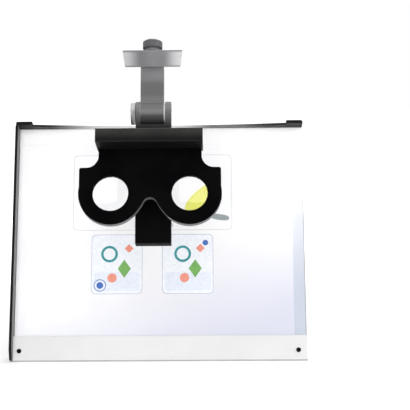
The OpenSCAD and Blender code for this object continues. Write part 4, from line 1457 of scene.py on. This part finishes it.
@dataclass
class LensHead(SubAssembly):
    """The mask with its lenses, brow rest, screws and the wall between the views.

    Args:
        eye_x: Distance of each lens from the middle, in mm.
        lens_u: Height of the lenses along the board, in mm.
        lens_front: Place of the flat front of a lens, in mm.
        lens_r: Radius of the rim in mm.
        lens_t: Greatest thickness in mm.
        curve_r: Radius of the domed side in mm.
        shift: Distance of the dome's apex from the middle of the rim, outwards, in mm.
        clear_r: Distance from a lens within which a plate's edge belongs to its opening, in mm.
        arch_x: Distance from the middle within which an edge belongs to the nose arch, in mm.
        arch_shade: How much of the painted bounce light shows in the arch, between both rims.
        plates: The two plates whose edges that look down carry painted bounce light.
    """

    eye_x: float = 36.5
    lens_u: float = 133.5
    lens_front: float = -196.0
    lens_r: float = 19.5
    lens_t: float = 4.2
    curve_r: float = 104.0
    shift: float = 6.0
    clear_r: float = 24.0
    arch_x: float = 17.0
    arch_shade: float = 0.45
    plates: tuple[Solid, ...] = (
        Solid("face_mask", "mask_front", MOULDED_BLACK, width=0.6, steps=3),
        Solid("lens_plate", "mask_back", MOULDED_BLACK, width=0.5),
    )
    solids: tuple[Solid, ...] = (
        Solid("brow_rest", "brow_plate", BROW_BLACK, width=0.6, steps=3),
        Solid("spacer_block", "head_spacer", MOULDED_BLACK, width=0.5),
        Solid("lens_ring_left", "left_ring", MOULDED_BLACK, width=0.25),
        Solid("lens_ring_right", "right_ring", MOULDED_BLACK, width=0.25),
        Solid("septum", "view_wall", MOULDED_BLACK, width=0.25),
    )
    screws: tuple[Screws, ...] = (
        Screws("brow_screws", "brow_screw_set", (0, 0, 1), Recess.CROSS, SCREW_BLACK),
        Screws("plate_screws", "plate_screw_set", (0, 1, 0), Recess.CROSS, SCREW_BLACK),
        Screws("spine_screws", "spine_screw_set", (0, 1, 0), Recess.HEX, SCREW_BLACK),
        Screws("septum_screws", "wall_screw_pair", (1, 0, 0), Recess.CROSS, SCREW_STEEL),
    )

    def build(self) -> None:
        """Builds the head and its two lenses."""
        for plate in self.plates:
            self.mark_cut(plate.build())
        super().build()
        for side, word in ((-1, "left"), (1, "right")):
            stand_in(word + "_lens_glass", "lens_" + word, [self.lens(side)], crease=30,
                     finish=GLASS)

    def mark_cut(self, plate: bpy.types.Object) -> None:
        """Paints bounce light on the edges of a plate that look down, as if lit from below.

        Faces get 1 in the attribute of painted bounce light where they are square to the plate's
        front, look down and lie outside the eye openings, less in the nose arch, and 0 elsewhere.

        Args:
            plate: The plate.
        """
        square, down = 0.3, -0.25
        normals = threes(plate.data.polygons, "normal") @ AXES.turn.T
        places = AXES.read(threes(plate.data.polygons, "center")) / MM
        from_eye = np.hypot(abs(places[:, 0]) - self.eye_x, places[:, 2] - self.lens_u)
        cut = ((abs(normals[:, 1]) < square) & (normals[:, 2] < down)
               & (from_eye > self.clear_r))
        shade = cut * np.where(abs(places[:, 0]) < self.arch_x, self.arch_shade, 1.0)
        plate.data.attributes.new("cut", "FLOAT", "FACE").data.foreach_set("value", shade)

    def lens(self, side: int) -> Skin:
        """Builds one decentred lens.

        Its front is flat. Behind it, a point at (x, y) from the middle of the rim has the depth
        t - R + sqrt(R^2 - (x - s)^2 - y^2), a ball of radius R whose apex lies s outwards.

        Args:
            side: -1 for the left lens, 1 for the right one.

        Returns:
            Vertices and faces.
        """
        around, count, first = 128, 18, 0.02
        angle = np.linspace(0, 2 * math.pi, around, endpoint=False)
        grow = np.linspace(first, 1, count)
        out = np.concatenate([grow, grow[::-1]])[:, None] * self.lens_r
        x, y = out * np.cos(angle), out * np.sin(angle)
        ball = self.lens_t - self.curve_r + np.sqrt(
            self.curve_r ** 2 - (x - side * self.shift) ** 2 - y ** 2)
        depth = np.where(np.arange(len(x))[:, None] < len(grow), 0.0, ball)
        rings = np.stack([side * self.eye_x + x, self.lens_front + depth, self.lens_u + y], -1)
        return on_board(rings * MM)


@dataclass(frozen=True)
class Patch:
    """One printed shape, an outline or the band between two outlines.

    Args:
        x, y: Middle of the shape in mm from the lower left corner of the sheet.
        wide, high: Half of its width and height in mm.
        power: 2 for an ellipse, 1 for a lozenge, large for a rectangle.
        band: Width of the band in mm, or 0 for a filled shape.
        turn: Angle by which it is turned, in degrees.
        layer: How many shapes it lies on.
    """

    x: float
    y: float
    wide: float
    high: float
    power: float = 2.0
    band: float = 0.0
    turn: float = 0.0
    layer: int = 0

    def outline(self, shrink: float) -> np.ndarray:
        """Works out the outline.

        At angle t the point is (a |cos t|^(2/n) sign cos t, b |sin t|^(2/n) sign sin t), with the
        half sizes a and b and the power n.

        Args:
            shrink: How far the outline lies inside the shape, in mm.

        Returns:
            Points of shape (count, 2) in mm on the sheet.
        """
        count = 96
        t = np.linspace(0, 2 * math.pi, count, endpoint=False) + math.pi / count
        bend = 2 / self.power
        px = (self.wide - shrink) * np.sign(np.cos(t)) * abs(np.cos(t)) ** bend
        py = (self.high - shrink) * np.sign(np.sin(t)) * abs(np.sin(t)) ** bend
        cos, sin = math.cos(math.radians(self.turn)), math.sin(math.radians(self.turn))
        return np.stack([self.x + px * cos - py * sin, self.y + px * sin + py * cos], -1)


@dataclass
class PictureSheet:
    """The stiff sheet with its printed test pictures, all plain figures.

    Args:
        left: Place of the sheet's left edge in mm.
        foot: Height of its lower edge along the board in mm.
        face: Place of its printed face in mm.
        film: Thickness of one layer of print in mm.
        prints: The shapes of each ink.
    """

    left: float = -153.2
    foot: float = 26.1
    face: float = -2.5
    film: float = 0.03
    prints: dict[Coating, tuple[Patch, ...]] = field(default_factory=lambda: {
        ink("pane_blue", 240, 243, 250): (
            Patch(108, 77, 27, 32, 14), Patch(184, 77, 27, 32, 14)),
        ink("pane_shade", 229, 234, 245): (
            Patch(108, 58, 24.5, 10, 12, layer=1), Patch(184, 58, 24.5, 10, 12, layer=1)),
        ink("pane_rim", 176, 184, 204): (
            Patch(108, 77, 27.4, 32.4, 14, 0.5, layer=1),
            Patch(184, 77, 27.4, 32.4, 14, 0.5, layer=1)),
        ink("card_rim", 205, 206, 210): (
            Patch(146, 156, 86, 42, 30, 0.5),),
        ink("teal", 52, 148, 152): (
            Patch(100, 88, 9, 9, 2, 2.6, layer=2), Patch(178.6, 88, 9, 9, 2, 2.6, layer=2)),
        ink("green", 120, 176, 96): (
            Patch(116, 72, 7, 10, 1, layer=2), Patch(192, 72, 7, 10, 1, layer=2),
            Patch(120, 150, 7, 7, 1.2, 1.6)),
        ink("coral", 238, 152, 132): (
            Patch(103, 62, 5, 5, 2, layer=2), Patch(180.5, 62, 5, 5, 2, layer=2),
            Patch(121, 94, 3.4, 3.4, 12, turn=45, layer=2),
            Patch(197.5, 94, 3.4, 3.4, 12, turn=45, layer=2)),
        ink("blue", 70, 110, 186): (
            Patch(90, 54, 3.6, 3.6, 2, layer=3), Patch(90, 54, 6.6, 6.6, 2, 0.8, layer=3),
            Patch(203, 100, 3, 3, 2, layer=2)),
        ink("yellow", 232, 232, 92): (
            Patch(199.6, 144.6, 22, 11, 2, turn=35.3),),
        ink("grey", 150, 158, 160): (
            Patch(219, 128, 10, 3.2, 2.6, turn=-8, layer=1),),
    })

    def build(self) -> None:
        """Builds the sheet and lays the print on it, one piece for each ink."""
        Solid("picture_sheet", "card_sheet", CARD, width=0.25).build()
        for finish, patches in self.prints.items():
            skins = [self.film_of(patch) for patch in patches]
            piece = make_piece("print_" + finish.name, skins, crease=40)
            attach(piece, BODY_OF["picture_sheet"])
            dress(piece, finish.material())

    def film_of(self, patch: Patch) -> Skin:
        """Makes a printed shape a thin closed film on the sheet.

        A filled shape is two stacked outlines with closed ends. A band is four outlines, outer and
        inner at both depths, joined in a ring.

        Args:
            patch: The shape.

        Returns:
            Vertices and faces.
        """
        sunk = 0.01
        low, high = self.face + sunk, self.face - self.film * (patch.layer + 1)
        steps = [(low, 0.0), (high, 0.0)]
        if patch.band:
            steps += [(high, patch.band), (low, patch.band)]
        corner = (self.left, self.foot)
        rings = [at_depth(patch.outline(shrink) + corner, depth) for depth, shrink in steps]
        return on_board(np.stack(rings) * MM, not patch.band)


# The studio


@dataclass
class Studio:
    """Camera, lamps, white surroundings and floor.

    Args:
        eye: Place of the camera.
        yaw, pitch, roll: Its turn to the right, its turn down and its roll, in degrees.
        sensor: Width of its sensor in mm.
        lens: Focal length in mm, which is 1212 pixels in a picture 410 pixels wide.
        shift: Sideways shift of the lens as a share of that width.
        ambient: Strength of the even light from all round.
        lamps: Name, place, size and power in watts of each lamp.
        aim: Point that the lamps look at.
        floor_half: Half of the floor's width.
        floor_cells: Squares along the floor.
        floor_z: Height of the floor, just under the object.
    """

    eye: Triple = (0.05578, -1.24849, 0.31498)
    yaw: float = -0.9836
    pitch: float = 6.8976
    roll: float = -0.5041
    sensor: float = 36
    lens: float = 36 * 1212 / 410
    shift: float = 15 / 410
    ambient: float = 0.36
    lamps: tuple[tuple[str, Triple, float, float], ...] = (
        ("key", (0.0, -1.38, 0.66), 1.3, 15.8),
        ("fill", (1.4, -0.5, 0.75), 1.0, 7.0),
        ("top", (0.0, 0.55, 1.5), 1.2, 8.5),
        ("back", (0.3, 1.3, 0.9), 1.0, 8.0),
    )
    aim: Triple = (0.0, 0.0, 0.15)
    floor_half: float = 6.0
    floor_cells: int = 8
    floor_z: float = -0.0002

    def build(self) -> None:
        """Builds the studio."""
        self.camera()
        for name, where, size, power in self.lamps:
            self.lamp(name, where, size, power)
        self.surroundings()
        self.floor()
        bpy.context.scene.view_settings.view_transform = "Standard"

    def camera(self) -> None:
        """Places the camera.

        It looks along (sin yaw cos pitch, cos yaw cos pitch, -sin pitch), and its right and up
        vectors are turned by the roll.
        """
        yaw, pitch, roll = (math.radians(a) for a in (self.yaw, self.pitch, self.roll))
        ahead = np.array([math.sin(yaw) * math.cos(pitch), math.cos(yaw) * math.cos(pitch),
                          -math.sin(pitch)])
        level = np.array([math.cos(yaw), -math.sin(yaw), 0.0])
        above = np.cross(level, ahead)
        right = level * math.cos(roll) + above * math.sin(roll)
        up = above * math.cos(roll) - level * math.sin(roll)
        data = bpy.data.cameras.new("camera")
        data.sensor_fit = "HORIZONTAL"
        data.sensor_width = self.sensor
        data.lens = self.lens
        data.shift_x = self.shift
        data.clip_start = 0.01
        made = bpy.data.objects.new("camera", data)
        turn = np.eye(4)
        turn[:3, :3] = np.stack([right, up, -ahead], -1)
        turn[:3, 3] = self.eye
        made.matrix_world = Matrix(turn.tolist())
        bpy.context.scene.collection.objects.link(made)
        bpy.context.scene.camera = made

    def lamp(self, name: str, where: Triple, size: float, power: float) -> None:
        """Adds one large soft lamp that looks at the object.

        The key lamp stands before the lenses and isn't mirrored, so that they stay clear.

        Args:
            name: Its name.
            where: Its place.
            size: Side of its square.
            power: Its power in watts.
        """
        data = bpy.data.lights.new(name, "AREA")
        data.shape = "SQUARE"
        data.size = size
        data.energy = power
        made = bpy.data.objects.new(name, data)
        made.location = where
        made.visible_glossy = name != "key"
        ahead = Vector(self.aim) - Vector(where)
        made.rotation_euler = ahead.to_track_quat("-Z", "Y").to_euler()
        bpy.context.scene.collection.objects.link(made)

    def surroundings(self) -> None:
        """Makes the white surroundings.

        Camera and transmission rays see white. Glossy rays see white behind and over the object,
        and a dimmer room towards the viewer. Other rays see an even grey.
        """
        world = bpy.data.worlds.new("studio")
        world.use_nodes = True
        world.node_tree.nodes.clear()
        write = Tree(world.node_tree)
        path = write.node("LightPath")
        direction = write.node("TexCoord").outputs["Generated"]
        parts = write.node("SeparateXYZ", {0: direction}).outputs
        behind = write.span(parts[1], low=-0.6, high=0.2, to_low=0.5, smooth=True)
        over = write.span(parts[2], low=0.7, high=0.98, to_high=0.7, smooth=True)
        mirrored = write.math("MAXIMUM", behind, over)
        seen = write.math("MAXIMUM", path.outputs["Is Camera Ray"],
                          path.outputs["Is Transmission Ray"])
        glossy = path.outputs["Is Glossy Ray"]
        even = write.math("MULTIPLY", self.ambient, write.math("SUBTRACT", 1.0, glossy))
        level = write.math("ADD", write.math("MULTIPLY", glossy, mirrored), even)
        strength = write.math("MAXIMUM", level, seen)
        back = write.node("Background", {"Color": (1, 1, 1, 1), "Strength": strength})
        write.node("OutputWorld", {"Surface": back.outputs[0]})
        bpy.context.scene.world = world

    def floor(self) -> None:
        """Makes the pale floor, which looks white where it is lit and keeps the object's shadow."""
        across = self.floor_cells + 1
        grid = np.linspace(-self.floor_half, self.floor_half, across)
        x, y = np.meshgrid(grid, grid, indexing="ij")
        points = np.stack([x, y, np.full_like(x, self.floor_z)], -1).reshape(-1, 3)
        cells = np.arange(self.floor_cells)
        i, j = np.meshgrid(cells, cells, indexing="ij")
        near, far = i * across + j, (i + 1) * across + j
        quads = np.stack([near, far, far + 1, near + 1], -1).reshape(-1, 4)
        mesh = bpy.data.meshes.new("floor")
        mesh.from_pydata(points.tolist(), [], quads.tolist())
        floor = bpy.data.objects.new("floor", mesh)
        bpy.context.scene.collection.objects.link(floor)
        made, write, place = new_material("pale_floor")
        path = write.node("LightPath")
        grain = write.group(GRAIN, {"Vector": place, "Scale": 60.0, "Spread": 12.0})
        tint = write.mix(grain.outputs["Patches"], (0.84, 0.84, 0.84, 1), (0.8, 0.8, 0.8, 1))
        paper = write.node("BsdfPrincipled", {"Base Color": tint, "Roughness": 0.9,
                                              "Specular IOR Level": 0.1})
        seen = write.math("MAXIMUM", path.outputs["Is Camera Ray"], path.outputs["Is Glossy Ray"])
        seen = write.math("MAXIMUM", seen, path.outputs["Is Transmission Ray"])
        distance = write.vector("LENGTH", place)
        level = write.span(distance, low=0.32, high=0.8, to_low=0.3, smooth=True)
        glow = write.node("Emission", {"Color": (1, 1, 1, 1),
                                       "Strength": write.math("MULTIPLY", seen, level)})
        both = write.node("AddShader", {0: paper.outputs[0], 1: glow.outputs[0]})
        write.node("OutputMaterial", {"Surface": both.outputs[0]})
        mesh.materials.append(made)


def main() -> None:
    """Builds the stereoscope and its studio."""
    logging.basicConfig(level=logging.INFO, format="%(message)s")
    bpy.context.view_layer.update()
    for kind in (Studio, Board, PictureSheet, PropLeg, RailCarriage, Swivel, Fork, LensHead):
        kind().build()
    bpy.context.view_layer.update()


if __name__ == "__main__":
    main()
